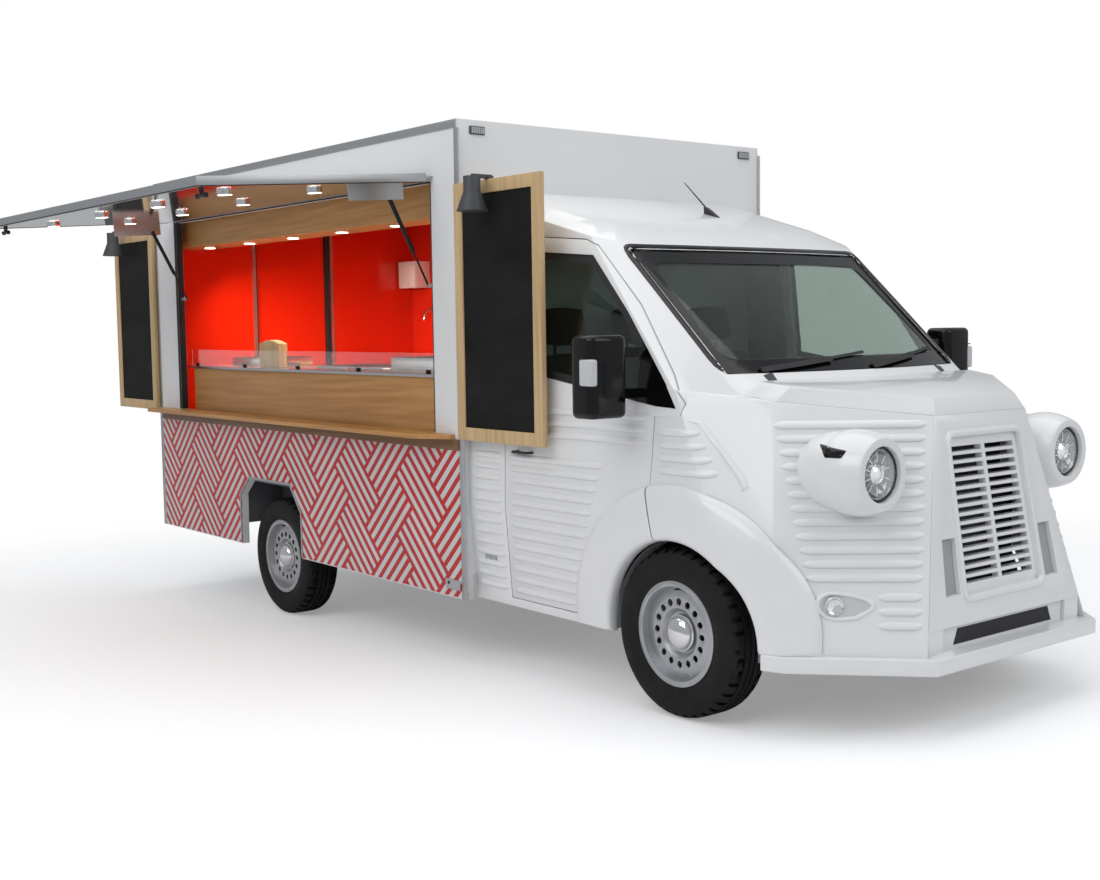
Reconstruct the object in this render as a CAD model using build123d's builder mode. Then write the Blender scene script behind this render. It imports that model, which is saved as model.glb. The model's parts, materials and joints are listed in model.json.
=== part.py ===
from build123d import *
from math import atan2, cos, degrees, radians, sin
import os

# Driving sizes, millimetres. The body is drawn level, front axle at x = 0, +X ahead, +Y left.
WHEELBASE = 3450
TYRE_R = 355
REAR_DROP = 102
TRACK_F = 1790
TRACK_R = 1770
KINGPIN_Y = TRACK_F / 2 - 85
BOX_X = (-5029, -1418)
BOX_Y = 1048
BOX_TOP = 2629
SKIRT_Z = 293
WALL = 45
FLOOR_Z = (420, 460)
HOLE_X = (-4690, -1650)
HOLE_Z = (1085, 2345)
STRIPE_TOP = 1030
HATCH_HINGE = (-1077, 2368)
HATCH_X = (-4712, -1628)
HATCH_D = 1215
HATCH_TILT = 3.8
STRUT_X = (-4600, -1724)
STRUT_FOOT = (-1024, 1842)
STRUT_LOCAL = (-175, -85)
BOARD_Z = (1090, 2316)
BOARD_Y = (-1080, -1052)
BOARD_W = 665
SKIN = 30
ARCH_R = 418
ARCH_C = (20, 330)
NOSE_TOP = (783, 318, 1260)
NOSE_RUN = 0.17
NOSE_FLARE = 0.26
NOSE_LOW = 445
CAB_BACK = -1418
SHOULDER_K = 0.137
ROOF_K = 0.28
LAMP = (792, 648, 1052)
RAKE = degrees(atan2(REAR_DROP, WHEELBASE))

PIECES = {}


def keep(name, builder):
    """File one finished piece under its node name."""
    PIECES[name] = builder.part


def block(x, y, z, mode=Mode.ADD):
    """A block over three ranges."""
    with Locations((sum(x) / 2, sum(y) / 2, sum(z) / 2)):
        Box(x[1] - x[0], y[1] - y[0], z[1] - z[0], mode=mode)


def rod(centre, axis, r, length, mode=Mode.ADD):
    """A cylinder along one axis, by its middle."""
    turn = {"x": (0, 90, 0), "y": (90, 0, 0), "z": (0, 0, 0)}[axis]
    with Locations(Location(centre, turn)):
        Cylinder(r, length, mode=mode)


def side_slab(points, y, mode=Mode.ADD):
    """A side view outline (x, z) carried across the y range."""
    with BuildSketch(Plane((0, y[0], 0), (1, 0, 0), (0, -1, 0))) as sk:
        with BuildLine():
            Polyline(*points, close=True)
        make_face()
    return extrude(sk.sketch, amount=y[0] - y[1], mode=mode)


def front_slab(points, x, mode=Mode.ADD):
    """A front view outline (y, z) carried along the x range."""
    with BuildSketch(Plane((x[0], 0, 0), (0, 1, 0), (1, 0, 0))) as sk:
        with BuildLine():
            Polyline(*points, close=True)
        make_face()
    return extrude(sk.sketch, amount=x[1] - x[0], mode=mode)


def plan_slab(points, z, mode=Mode.ADD):
    """A plan outline (x, y) carried up the z range."""
    with BuildSketch(Plane.XY.offset(z[0])) as sk:
        with BuildLine():
            Polyline(*points, close=True)
        make_face()
    return extrude(sk.sketch, amount=z[1] - z[0], mode=mode)


def both(points):
    """Mirror a right-hand run of (a, b) points over the middle."""
    return points + [(a, -b) for a, b in reversed(points)]


def shoulder(x):
    return NOSE_TOP[2] + (NOSE_TOP[0] - x) * SHOULDER_K


def roof_line(x):
    return 2005 + (-545 - x) * ROOF_K


def ring_face(half, height, bow=None):
    """A closed section from right-hand (x, y) points, level or on a slope."""
    right = [(x, -y, height(x)) for x, y in half]
    left = [(x, y, height(x)) for x, y in reversed(half)]
    with BuildLine() as line:
        Polyline(*right)
        if bow is None:
            Line(right[-1], left[0])
        else:
            ThreePointArc(right[-1], (bow, 0, height(bow)), left[0])
        Polyline(*left)
        Line(left[-1], right[0])
    return Face(Wire(line.edges()))


def cab_form(t):
    """The closed cab volume with each outer face moved in by t."""
    with BuildPart() as form:
        low = [(CAB_BACK, 972 - t), (330, 985 - t), (545 - t, 925 - t),
               (NOSE_TOP[0] + 960 * NOSE_RUN - t, 568 - t * 0.6)]
        mid = [(CAB_BACK, 1014 - t), (250, 1012 - t), (470 - t, 905 - t),
               (NOSE_TOP[0] + 460 * NOSE_RUN - t, 438 - t * 0.6)]
        top = [(CAB_BACK, 1000 - t), (10, 985 - t), (345 - t, 772 - t),
               (NOSE_TOP[0] - t, NOSE_TOP[1] - t * 0.6)]
        loft(sections=[ring_face(low, lambda x: 300), ring_face(mid, lambda x: 800)], ruled=True)
        loft(sections=[ring_face(mid, lambda x: 800), ring_face(top, lambda x: shoulder(x) - t)], ruled=True)
        base = [(CAB_BACK, 1000 - t), (0, 985 - t), (175 - t, 812 - t)]
        crown = [(CAB_BACK, 938 - t), (-640, 878 - t), (-548 - t, 802 - t)]
        cap = [(CAB_BACK, 800 - t), (-760, 740 - t), (-690 - t, 660 - t)]
        loft(sections=[ring_face(base, lambda x: shoulder(x) - t - 1, 330 - t),
                       ring_face(crown, lambda x: roof_line(x) - t, -478 - t)], ruled=True)
        loft(sections=[ring_face(crown, lambda x: roof_line(x) - t, -478 - t),
                       ring_face(cap, lambda x: roof_line(x) + 46 - t, -640 - t)], ruled=True)
    return form.part


OUTER = cab_form(0)
INNER = cab_form(SKIN)

DOOR = [(-1128, 340), (-440, 340), (-412, 520), (-135, 800), (-105, 1255), (45, 1262), (58, 1312),
        (-35, 1430), (-300, 1720), (-590, 1990), (-660, 2020), (-1128, 2060)]
DOOR_GLASS = [(-1070, 1435), (-110, 1296), (15, 1290), (-50, 1390), (-330, 1690), (-600, 1945), (-1070, 1985)]
FRONT_END = [(-440, 290), (-412, 520), (-135, 800), (-105, 1255), (45, 1262), (58, 1312),
             (50, shoulder(50) + 1), (1100, shoulder(1100) + 1), (1100, 290)]
def grown(points, d):
    """Move an outline out from its middle by about d."""
    ax = sum(p[0] for p in points) / len(points)
    az = sum(p[1] for p in points) / len(points)
    out = []
    for x, z in points:
        r = ((x - ax) ** 2 + (z - az) ** 2) ** 0.5
        out.append((x + (x - ax) * d / r, z + (z - az) * d / r))
    return out


def skin_piece(t0=0, t1=SKIN):
    """Start a piece from the cab skin between two depths."""
    add(OUTER if t0 == 0 else cab_form(t0))
    add(INNER if t1 == SKIN else cab_form(t1), mode=Mode.SUBTRACT)


def nose_cut(gap, mode):
    rows = [(-(NOSE_TOP[1] + gap) - (NOSE_TOP[2] - z) * NOSE_FLARE, z) for z in (250, 1320)]
    front_slab(rows + [(-a, z) for a, z in reversed(rows)], (640, 1100), mode)


BONNET_LOW = [(345, 755), (783, 314)]
BONNET_TOP = [(372, 700), (752, 284)]


def bonnet_z(x):
    return shoulder(x) + 0.6


def bonnet_solid(grow):
    low = [(215, 775 + grow)] + [(x + grow, y + grow) for x, y in BONNET_LOW]
    top = [(225, 735 + grow)] + [(x + grow, y + grow) for x, y in BONNET_TOP]
    loft(sections=[ring_face(low, lambda x: bonnet_z(x) - grow), ring_face(top, lambda x: bonnet_z(x) + 62)], ruled=True)



SCREEN = [(-772, 1425), (-768, 1970), (768, 1970), (772, 1425)]
RIGHT = (-1300, -500)
LEFT = (500, 1300)

with BuildPart() as cab_shell:
    skin_piece()
    side_slab(DOOR, (-1200, 1200), Mode.SUBTRACT)
    side_slab(FRONT_END, (-1200, 1200), Mode.SUBTRACT)
    front_slab(SCREEN, (-700, 500), Mode.SUBTRACT)
    block((CAB_BACK, -1132), (-970, 970), FLOOR_Z)
    block((-1140, -445), (-930, 930), FLOOR_Z)
    block((-470, 150), (-560, 560), FLOOR_Z)
    block((120, 150), (-560, 560), (FLOOR_Z[0], 1180))
keep("cab_shell", cab_shell)

with BuildPart() as screen:
    skin_piece(7, 14)
    front_slab(SCREEN, (-700, 500), Mode.INTERSECT)

for side, span in (("right", RIGHT), ("left", LEFT)):
    with BuildPart() as door:
        skin_piece()
        side_slab(grown(DOOR, -5), span, Mode.INTERSECT)
        side_slab(DOOR_GLASS, span, Mode.SUBTRACT)
    keep("door_" + side, door)
    with BuildPart() as pane:
        skin_piece(8, 14)
        side_slab(DOOR_GLASS, span, Mode.INTERSECT)
        if side == "right":
            add(screen.part)
    keep("cab_glass" if side == "right" else "door_glass_left", pane)

for side, s in (("right", -1), ("left", 1)):
    with BuildPart() as wing:
        skin_piece()
        side_slab(FRONT_END, (s * 200, s * 1200), Mode.INTERSECT)
        nose_cut(2, Mode.SUBTRACT)
        block((380, 1100), (-1100, 1100), (250, 352), Mode.SUBTRACT)
        plan_slab([(100, -735), (340, -722), (760, -290), (760, 290), (340, 722), (100, 735)],
                  (1150, 1600), Mode.SUBTRACT)
        rod((ARCH_C[0], 0, ARCH_C[1]), "y", ARCH_R, 2400, Mode.SUBTRACT)
    keep("wing_" + side, wing)

with BuildPart() as nose:
    skin_piece()
    nose_cut(0, Mode.INTERSECT)
    block((600, 1100), (-700, 700), (200, NOSE_LOW), Mode.SUBTRACT)
    block((600, 730), (-700, 700), (200, 1500), Mode.SUBTRACT)
    front_slab([(-262, 552), (-240, 1168), (240, 1168), (262, 552)], (700, 1100), Mode.SUBTRACT)
    for s in (-1, 1):
        front_slab([(s * 300, 560), (s * 290, 780), (s * 375, 780), (s * 395, 560)], (700, 1100), Mode.SUBTRACT)
keep("nose_panel", nose)

with BuildPart() as grille:
    skin_piece(14, 44)
    front_slab([(-262, 552), (-240, 1168), (240, 1168), (262, 552)], (700, 1100), Mode.INTERSECT)
    for i in range(16):
        z = 592 + i * 34.5
        w = 240 - 18 * i / 15
        for s in (-1, 1):
            front_slab([(s * 12, z), (s * 12, z + 21), (s * (w - 8), z + 21), (s * (w - 8), z)], (700, 1100), Mode.SUBTRACT)
keep("grille", grille)

with BuildPart() as bonnet:
    bonnet_solid(0)
    add(cab_form(-0.6), mode=Mode.SUBTRACT)
keep("bonnet", bonnet)

with BuildPart() as bumper:
    plan_slab([(470, -985), (560, -955), (985, -560), (985, 560), (560, 955), (470, 985), (440, 900), (540, 860),
               (850, 520), (850, -520), (540, -860), (440, -900)], (288, 352))
    plan_slab([(840, -430), (900, -430), (900, 430), (840, 430)], (352, NOSE_LOW))
keep("bumper", bumper)

with BuildPart() as pods:
    for s in (-1, 1):
        with BuildSketch(Plane((0, s * LAMP[1], LAMP[2]), (1, 0, 0), (0, 0, 1))) as sk:
            with BuildLine():
                Line((LAMP[0], 0), (LAMP[0], 140))
                ThreePointArc((LAMP[0], 140), (LAMP[0] - 70, 165), (LAMP[0] - 190, 158))
                ThreePointArc((LAMP[0] - 190, 158), (LAMP[0] - 360, 100), (LAMP[0] - 440, 0))
                Line((LAMP[0] - 440, 0), (LAMP[0], 0))
            make_face()
        revolve(sk.sketch, axis=Axis((0, s * LAMP[1], LAMP[2]), (1, 0, 0)))
    for s in (-1, 1):
        rod((LAMP[0] - 20, s * LAMP[1], LAMP[2]), "x", 110, 60, Mode.SUBTRACT)
    add(OUTER, mode=Mode.SUBTRACT)
keep("headlamp_pods", pods)

with BuildPart() as lamps:
    for s in (-1, 1):
        rod((LAMP[0] - 30, s * LAMP[1], LAMP[2]), "x", 110, 40)
        block((BOX_X[1], BOX_X[1] + 12), (s * 930 - 45, s * 930 + 45), (2560, 2600))
keep("lamps", lamps)

with BuildPart() as dash:
    side_slab([(20, 640), (-60, 700), (-240, 1010), (-255, 1130), (-130, 1210), (100, 1250), (120, 1230), (120, 700)],
              (-850, 850))
    rod((0, 0, 330), "y", 470, 2400, Mode.SUBTRACT)

with BuildPart() as wheel:
    with Locations(Location((-330, 420, 1190), (0, -62, 0))):
        Torus(190, 16)
        Cylinder(55, 40)
        Box(360, 36, 22)
        with Locations((0, 0, -110)):
            Cylinder(30, 190)
    add(dash.part)
keep("dashboard", wheel)

with BuildPart() as seats:
    for y0, y1 in ((-830, -330), (-320, 110), (190, 690)):
        block((-1080, -560), (y0, y1), (FLOOR_Z[1], 880))
        side_slab([(-1080, 880), (-960, 880), (-1150, 1500), (-1240, 1480)], (y0, y1))
        block((-1260, -1160), ((y0 + y1) / 2 - 130, (y0 + y1) / 2 + 130), (1530, 1720))
        block((-1215, -1195), ((y0 + y1) / 2 - 60, (y0 + y1) / 2 + 60), (1480, 1540))
keep("seats", seats)

REAR_ARCH = [(-WHEELBASE + x, z) for x, z in ((-392, 280), (-388, 610), (-270, 712), (250, 712), (375, 560), (378, 280))]
WHEEL_BOX_X = (-WHEELBASE - 430, -WHEELBASE + 430)
WHEEL_BOX_Y = TRACK_R / 2 - 158
WHEEL_BOX_Z = 720


def wheel_box(s, inset, z, mode=Mode.ADD):
    """The boxed-in room over one rear wheel, on the right (s = -1) or the left."""
    y = sorted((s * (WHEEL_BOX_Y + inset), s * (BOX_Y - WALL)))
    block((WHEEL_BOX_X[0] + inset, WHEEL_BOX_X[1] - inset), y, z, mode)



with BuildPart() as floor:
    block((BOX_X[0] + WALL, BOX_X[1] - WALL), (-BOX_Y + WALL, BOX_Y - WALL), FLOOR_Z)
    for s in (-1, 1):
        wheel_box(s, 0, (FLOOR_Z[0], WHEEL_BOX_Z))
        wheel_box(s, 29, (FLOOR_Z[0], WHEEL_BOX_Z - 30), Mode.SUBTRACT)
keep("box_floor", floor)

WALL_Y = {"right": (-BOX_Y, -BOX_Y + WALL), "left": (BOX_Y - WALL, BOX_Y)}
for side, span in WALL_Y.items():
    with BuildPart() as wall:
        block(BOX_X, span, (SKIRT_Z, BOX_TOP - WALL))
        side_slab(REAR_ARCH, (-1200, 1200), Mode.SUBTRACT)
        if side == "right":
            block(HOLE_X, span, HOLE_Z, Mode.SUBTRACT)
    keep("box_wall_" + side, wall)

IN_Y = (-BOX_Y + WALL, BOX_Y - WALL)
with BuildPart() as front_wall:
    block((BOX_X[1] - WALL, BOX_X[1]), IN_Y, (FLOOR_Z[0], BOX_TOP - WALL))
keep("box_wall_front", front_wall)

DOOR_Y = (-330, 275)
with BuildPart() as rear_wall:
    block((BOX_X[0], BOX_X[0] + WALL), IN_Y, (SKIRT_Z, BOX_TOP - WALL))
    block((BOX_X[0], BOX_X[0] + WALL), DOOR_Y, (FLOOR_Z[1], 2330), Mode.SUBTRACT)
keep("box_wall_rear", rear_wall)

with BuildPart() as rear_door:
    block((BOX_X[0] - 17, BOX_X[0] - 1), (DOOR_Y[0] - 25, DOOR_Y[1] + 25), (FLOOR_Z[1] - 20, 2355))
    block((BOX_X[0] - 1, BOX_X[0] + 30), (DOOR_Y[0] + 12, DOOR_Y[1] - 40), (FLOOR_Z[1] + 12, 2318))
    block((BOX_X[0] - 55, BOX_X[0] - 17), (DOOR_Y[0] + 30, DOOR_Y[0] + 60), (1300, 1460))
keep("rear_door", rear_door)

with BuildPart() as roof:
    block(BOX_X, (-BOX_Y, BOX_Y), (BOX_TOP - WALL, BOX_TOP))
keep("box_roof", roof)

with BuildPart() as trim:
    for y in (-BOX_Y, BOX_Y):
        s = 1 if y > 0 else -1
        block(BOX_X, (min(y, y + 4 * s), max(y, y + 4 * s)), (BOX_TOP - 42, BOX_TOP))
        for x in BOX_X:
            block((x - 20 if x < -3000 else x - 24, x + 24 if x < -3000 else x + 20),
                  (min(y, y + 4 * s), max(y, y + 4 * s)), (SKIRT_Z, BOX_TOP - 42))
    rod((sum(HATCH_X) / 2, HATCH_HINGE[0], HATCH_HINGE[1]), "x", 9.5, HATCH_X[1] - HATCH_X[0])
    block(HATCH_X, (HATCH_HINGE[0], -BOX_Y), (HATCH_HINGE[1], HATCH_HINGE[1] + 7))
    for x, jamb in zip(STRUT_X, HOLE_X):
        s = 1 if jamb > x else -1
        block(sorted((x + 7 * s, jamb)), (STRUT_FOOT[0] - 9, STRUT_FOOT[0] + 9), (STRUT_FOOT[1] - 9, STRUT_FOOT[1] + 9))
keep("box_trim", trim)

with BuildPart() as panel:
    block((BOX_X[0] + 26, BOX_X[1] - 26), (-BOX_Y - 3, -BOX_Y), (SKIRT_Z + 6, STRIPE_TOP))
    side_slab(REAR_ARCH, (-1200, 1200), Mode.SUBTRACT)
keep("striped_panel", panel)

with BuildPart() as shelf:
    plan_slab([(HOLE_X[0], -BOX_Y + WALL), (HOLE_X[0], -BOX_Y), (-4960, -BOX_Y), (-4960, -1180), (-1680, -1180),
               (-1480, -1080), (-1480, -BOX_Y), (HOLE_X[1], -BOX_Y), (HOLE_X[1], -BOX_Y + WALL)], (HOLE_Z[0], HOLE_Z[0] + 24))
    block((BOX_X[0] + 26, BOX_X[1] - 26), (-BOX_Y - 10, -BOX_Y), (STRIPE_TOP, HOLE_Z[0]))
keep("serving_shelf", shelf)

COUNTER_Z = 1380
with BuildPart() as counter:
    block((-4640, -1700), (-975, -950), (FLOOR_Z[1] + 300, COUNTER_Z))
    for x in (-4640, -3170, -1725):
        block((x, x + 25), (-950, -520), (FLOOR_Z[1], COUNTER_Z))
    block((-4600, -1500), (560, 997), (FLOOR_Z[1], COUNTER_Z - 40))
    for s in (-1, 1):
        wheel_box(s, 0, (FLOOR_Z[1], WHEEL_BOX_Z), Mode.SUBTRACT)
keep("counter", counter)

with BuildPart() as top:
    block((-4660, -1690), (-992, -500), (COUNTER_Z, COUNTER_Z + 16))
    block((-4620, -1480), (545, 997), (COUNTER_Z - 40, COUNTER_Z - 24))
    rod((-4250, 780, COUNTER_Z + 138), "z", 11, 324)
    with BuildSketch(Plane((-4250, 780, COUNTER_Z + 300))) as sk:
        Circle(11)
    revolve(sk.sketch, axis=Axis((-4250, 700, COUNTER_Z + 300), (1, 0, 0)), revolution_arc=180)
keep("counter_top", top)

with BuildPart() as guard:
    block((-4640, -1700), (-986, -980), (COUNTER_Z + 16, 1504))
keep("glass_guard", guard)

with BuildPart() as soffit:
    block((BOX_X[0] + WALL, BOX_X[1] - WALL), (-965, -720), (2185, BOX_TOP - WALL))
    for i in range(5):
        rod((-4600 + i * 580, -850, 2183), "z", 32, 4)
keep("soffit", soffit)

with BuildPart() as lining:
    block((BOX_X[0] + WALL, BOX_X[1] - WALL), (997, BOX_Y - WALL), (FLOOR_Z[1], BOX_TOP - WALL))
    block((BOX_X[0] + WALL, BOX_X[0] + WALL + 6), (-720, 997), (FLOOR_Z[1], BOX_TOP - WALL))
    block((BOX_X[1] - WALL - 6, BOX_X[1] - WALL), (-720, 997), (FLOOR_Z[1], BOX_TOP - WALL))
    block((BOX_X[0], BOX_X[0] + 100), DOOR_Y, (FLOOR_Z[1], 2330), Mode.SUBTRACT)
    wheel_box(1, 0, (FLOOR_Z[1], WHEEL_BOX_Z), Mode.SUBTRACT)
keep("wall_lining", lining)

with BuildPart() as towels:
    block((-4955, -4725), (860, 997), (1930, 2130))
keep("towel_box", towels)

TIP = Location((0, HATCH_HINGE[0], HATCH_HINGE[1]), (HATCH_TILT, 0, 0))
with BuildPart() as hatch:
    with Locations(TIP):
        with Locations((sum(HATCH_X) / 2, -HATCH_D / 2 - 5, 0)):
            Box(HATCH_X[1] - HATCH_X[0], HATCH_D - 10, 40)
        for x in STRUT_X:
            s = 1 if x > -3000 else -1
            with Locations((x + s * 30, -265, -60)):
                Box(6, 310, 80)
            with Locations(Location((x + s * 19.7, STRUT_LOCAL[0], STRUT_LOCAL[1]), (0, 90, 0))):
                Cylinder(7, 16.6)
keep("hatch", hatch)

with BuildPart() as pucks:
    with Locations(TIP):
        for i in range(4):
            for y in (-420, -900):
                with Locations((-4350 + i * 780, y, -29)):
                    Cylinder(38, 18)
keep("hatch_lights", pucks)


TILT = radians(HATCH_TILT)
STRUT_HEAD = (HATCH_HINGE[0] + STRUT_LOCAL[0] * cos(TILT) - STRUT_LOCAL[1] * sin(TILT),
              HATCH_HINGE[1] + STRUT_LOCAL[0] * sin(TILT) + STRUT_LOCAL[1] * cos(TILT))
STRUT_DY = STRUT_FOOT[0] - STRUT_HEAD[0]
STRUT_DZ = STRUT_FOOT[1] - STRUT_HEAD[1]
STRUT_L = (STRUT_DY ** 2 + STRUT_DZ ** 2) ** 0.5
STRUT_LEAN = degrees(atan2(STRUT_DY, -STRUT_DZ))


def strut_run(near, far, r, mode=Mode.ADD):
    """Cylinders on both struts between two distances from the head."""
    for x in STRUT_X:
        with Locations(Location((x, STRUT_HEAD[0], STRUT_HEAD[1]), (STRUT_LEAN, 0, 0))):
            with Locations((0, 0, -(near + far) / 2)):
                Cylinder(r, far - near, mode=mode)


with BuildPart() as barrels:
    strut_run(-10, 300, 11)
    strut_run(60, 310, 5.5, Mode.SUBTRACT)
keep("strut_barrels", barrels)
with BuildPart() as rods:
    strut_run(230, STRUT_L + 8, 5)
keep("strut_rods", rods)

for end, x0, s in (("front", BOX_X[1] + 6, 1), ("rear", BOX_X[0] - 6, -1)):
    span = sorted((x0, x0 + s * BOARD_W))
    inner = (span[0] + 62, span[1] - 62)
    with BuildPart() as frame:
        block(span, BOARD_Y, BOARD_Z)
        block(inner, (BOARD_Y[0], BOARD_Y[0] + 18), (BOARD_Z[0] + 62, BOARD_Z[1] - 62), Mode.SUBTRACT)
    keep("board_" + end, frame)
    with BuildPart() as slate:
        block(inner, (BOARD_Y[0] + 8, BOARD_Y[0] + 18), (BOARD_Z[0] + 62, BOARD_Z[1] - 62))
    keep("slate_" + end, slate)
    lx = x0 + s * (270 if s > 0 else 470)
    with BuildPart() as bell:
        with Locations((lx, BOARD_Y[0] - 82, 2210)):
            Cone(74, 40, 90)
        rod((lx, BOARD_Y[0] - 82, 2290), "z", 40, 70)
        block((lx - 9, lx + 9), (BOARD_Y[0] - 82, BOARD_Y[1]), (2318, 2336))
        block((lx - 20, lx + 20), BOARD_Y, (2316, 2330))
    keep("bell_lamp_" + end, bell)

for side, s in (("right", -1), ("left", 1)):
    with BuildPart() as mirror:
        block((-300, -150), sorted((s * 1090, s * 1300)), (1250, 1597))
        for z in (1330, 1520):
            block((-240, -190), sorted((s * 930, s * 1100)), (z - 14, z + 14))
        add(cab_form(8), mode=Mode.SUBTRACT)
    keep("mirror_" + side, mirror)

RAIL_Y = 450
with BuildPart() as frame:
    for s in (-1, 1):
        block((-4950, 480), (s * RAIL_Y - 40, s * RAIL_Y + 40), (300, 420))
    for x in (-4900, -3900, -2900, -1900, -900, 420):
        block((x - 40, x + 40), (-RAIL_Y, RAIL_Y), (320, 400))
    rod((-2600, -250, 350), "x", 28, 1800)
    rod((-2300, -250, 340), "x", 70, 600)
    for x in (-1950, -2850):
        block((x - 15, x + 15), (-410, -240), (340, 360))
    block((440, 850), (-520, -460), (352, 420))
    block((440, 850), (460, 520), (352, 420))
keep("chassis_frame", frame)

with BuildPart() as engine:
    block((220, 640), (-260, 300), (420, 900))
    block((680, 720), (-330, 330), (430, 1000))
    block((640, 680), (-40, 40), (500, 700))
    block((380, 460), (-100, 100), (400, 420))
keep("engine", engine)

with BuildPart() as susp:
    block((-70, 70), (-410, 410), (230, 300))
    for s in (-1, 1):
        block((-25, 25), sorted((s * 410, s * (KINGPIN_Y - 4))), (258, 299))
        rod((0, s * (KINGPIN_Y - 150), 490), "z", 38, 400)
        block((-60, 60), sorted((s * 410, s * (KINGPIN_Y - 110))), (690, 715))
        block((-60, 60), sorted((s * 410, s * 440)), (FLOOR_Z[1], 715))
keep("front_suspension", susp)

REAR_Z = TYRE_R - REAR_DROP
with BuildPart() as axle:
    rod((-WHEELBASE, 0, REAR_Z), "y", 45, TRACK_R - 270)
    rod((-WHEELBASE, 0, REAR_Z), "y", 33, TRACK_R + 90)
    for s in (-1, 1):
        rod((-WHEELBASE, s * (TRACK_R / 2 - 110), REAR_Z), "y", 130, 40)
        block((-WHEELBASE - 60, -WHEELBASE + 60), (s * RAIL_Y - 40, s * RAIL_Y + 40), (REAR_Z, 300))
keep("rear_axle", axle)

with BuildPart() as tyre:
    with BuildSketch(Plane.XY) as sk:
        with BuildLine():
            Polyline((206, 86), (206, -86), (222, -86))
            ThreePointArc((222, -86), (285, -105), (334, -96))
            Polyline((334, -96), (350, -82), (TYRE_R, -66), (TYRE_R, 66), (350, 82), (334, 96))
            ThreePointArc((334, 96), (285, 105), (222, 86))
            Line((222, 86), (206, 86))
        make_face()
    revolve(axis=Axis.Y)

RIM = [(206, -86), (206, 86), (222, 86), (222, 94), (198, 94), (198, 52), (160, 70), (105, 70), (88, 48), (34, 48),
       (34, 38), (92, 38), (110, 60), (156, 60), (198, 40), (198, -94), (222, -94), (222, -86)]
with BuildPart() as rim:
    with BuildSketch(Plane.XY) as sk:
        with BuildLine():
            Polyline(*RIM, close=True)
        make_face()
    revolve(axis=Axis.Y)
    with Locations(Location((0, 65, 0), (90, 0, 0))):
        with PolarLocations(132, 16):
            Cylinder(15, 40, mode=Mode.SUBTRACT)

CORNERS = [("front_right", 0, -TRACK_F / 2, TYRE_R, 180), ("front_left", 0, TRACK_F / 2, TYRE_R, 0),
           ("rear_right", -WHEELBASE, -TRACK_R / 2, REAR_Z, 180), ("rear_left", -WHEELBASE, TRACK_R / 2, REAR_Z, 0)]
for name, x, y, z, turn in CORNERS:
    place = Location((x, y, z), (0, 0, turn))
    PIECES["tyre_" + name] = tyre.part.moved(place)
    PIECES["rim_" + name] = rim.part.moved(place)

for side, s in (("right", -1), ("left", 1)):
    with BuildPart() as knuckle:
        rod((0, s * (KINGPIN_Y + 28), TYRE_R), "y", 150, 24)
        rod((0, s * (KINGPIN_Y + 80), TYRE_R), "y", 33, 100)
        block((-32, 32), sorted((s * (KINGPIN_Y - 18), s * (KINGPIN_Y + 18))), (300, TYRE_R + 120))
    keep("knuckle_" + side, knuckle)

PIVOT = Location((0, 0, TYRE_R)) * Location((0, 0, 0), (0, RAKE, 0)) * Location((0, 0, -TYRE_R))
RAKED = {name: piece.moved(PIVOT) for name, piece in PIECES.items()}
EDGES = [piece.bounding_box() for piece in RAKED.values()]
MID_X = (min(b.min.X for b in EDGES) + max(b.max.X for b in EDGES)) / 2
MID_Y = (min(b.min.Y for b in EDGES) + max(b.max.Y for b in EDGES)) / 2
SHIFT = Location((-MID_X, -MID_Y, -min(b.min.Z for b in EDGES)))
os.makedirs("parts", exist_ok=True)
for name, piece in RAKED.items():
    placed = piece.moved(SHIFT)
    placed.label = name
    export_step(placed, os.path.join("parts", name + ".step"))
print("head", STRUT_HEAD, STRUT_L, STRUT_LEAN)
print("shift", [round(v, 3) for v in tuple(SHIFT.position)], "rake", round(RAKE, 4), len(RAKED))
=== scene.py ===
# %% [markdown]
# A food truck: a van cab in front, a tall white box with a serving hatch behind it.
# The CAD solids are already in place, in metres. This lesson gives them their finishes and adds the
# fine pieces. The truck stands nose-down by a small angle, so every new piece is drawn on a level
# truck, in millimetres from the middle of the front axle, and one matrix then tips it into place.

# %% Load the solids
import bpy, bmesh, json
from math import radians, degrees, sin, cos, pi, atan2, sqrt
from mathutils import Matrix, Vector
from mathutils.bvhtree import BVHTree

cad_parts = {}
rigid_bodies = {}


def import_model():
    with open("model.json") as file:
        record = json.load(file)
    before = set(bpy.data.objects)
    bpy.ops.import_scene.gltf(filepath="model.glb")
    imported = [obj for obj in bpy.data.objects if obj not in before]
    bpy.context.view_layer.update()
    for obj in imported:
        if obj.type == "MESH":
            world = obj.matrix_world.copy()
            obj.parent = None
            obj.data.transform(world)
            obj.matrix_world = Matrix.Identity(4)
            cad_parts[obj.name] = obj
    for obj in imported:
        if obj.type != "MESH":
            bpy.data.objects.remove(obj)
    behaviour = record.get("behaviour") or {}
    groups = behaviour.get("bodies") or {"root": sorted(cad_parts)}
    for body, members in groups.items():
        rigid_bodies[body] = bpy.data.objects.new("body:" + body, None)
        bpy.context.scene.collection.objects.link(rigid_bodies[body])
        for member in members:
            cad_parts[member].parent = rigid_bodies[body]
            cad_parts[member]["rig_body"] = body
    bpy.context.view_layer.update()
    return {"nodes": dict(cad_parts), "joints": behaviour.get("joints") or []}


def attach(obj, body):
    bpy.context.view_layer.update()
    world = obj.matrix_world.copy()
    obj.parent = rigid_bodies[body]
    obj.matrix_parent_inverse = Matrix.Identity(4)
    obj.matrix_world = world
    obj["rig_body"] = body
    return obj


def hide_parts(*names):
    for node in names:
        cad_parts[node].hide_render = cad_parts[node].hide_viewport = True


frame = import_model()
nodes = frame["nodes"]
joints = {j["name"]: j for j in frame["joints"]}

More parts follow.
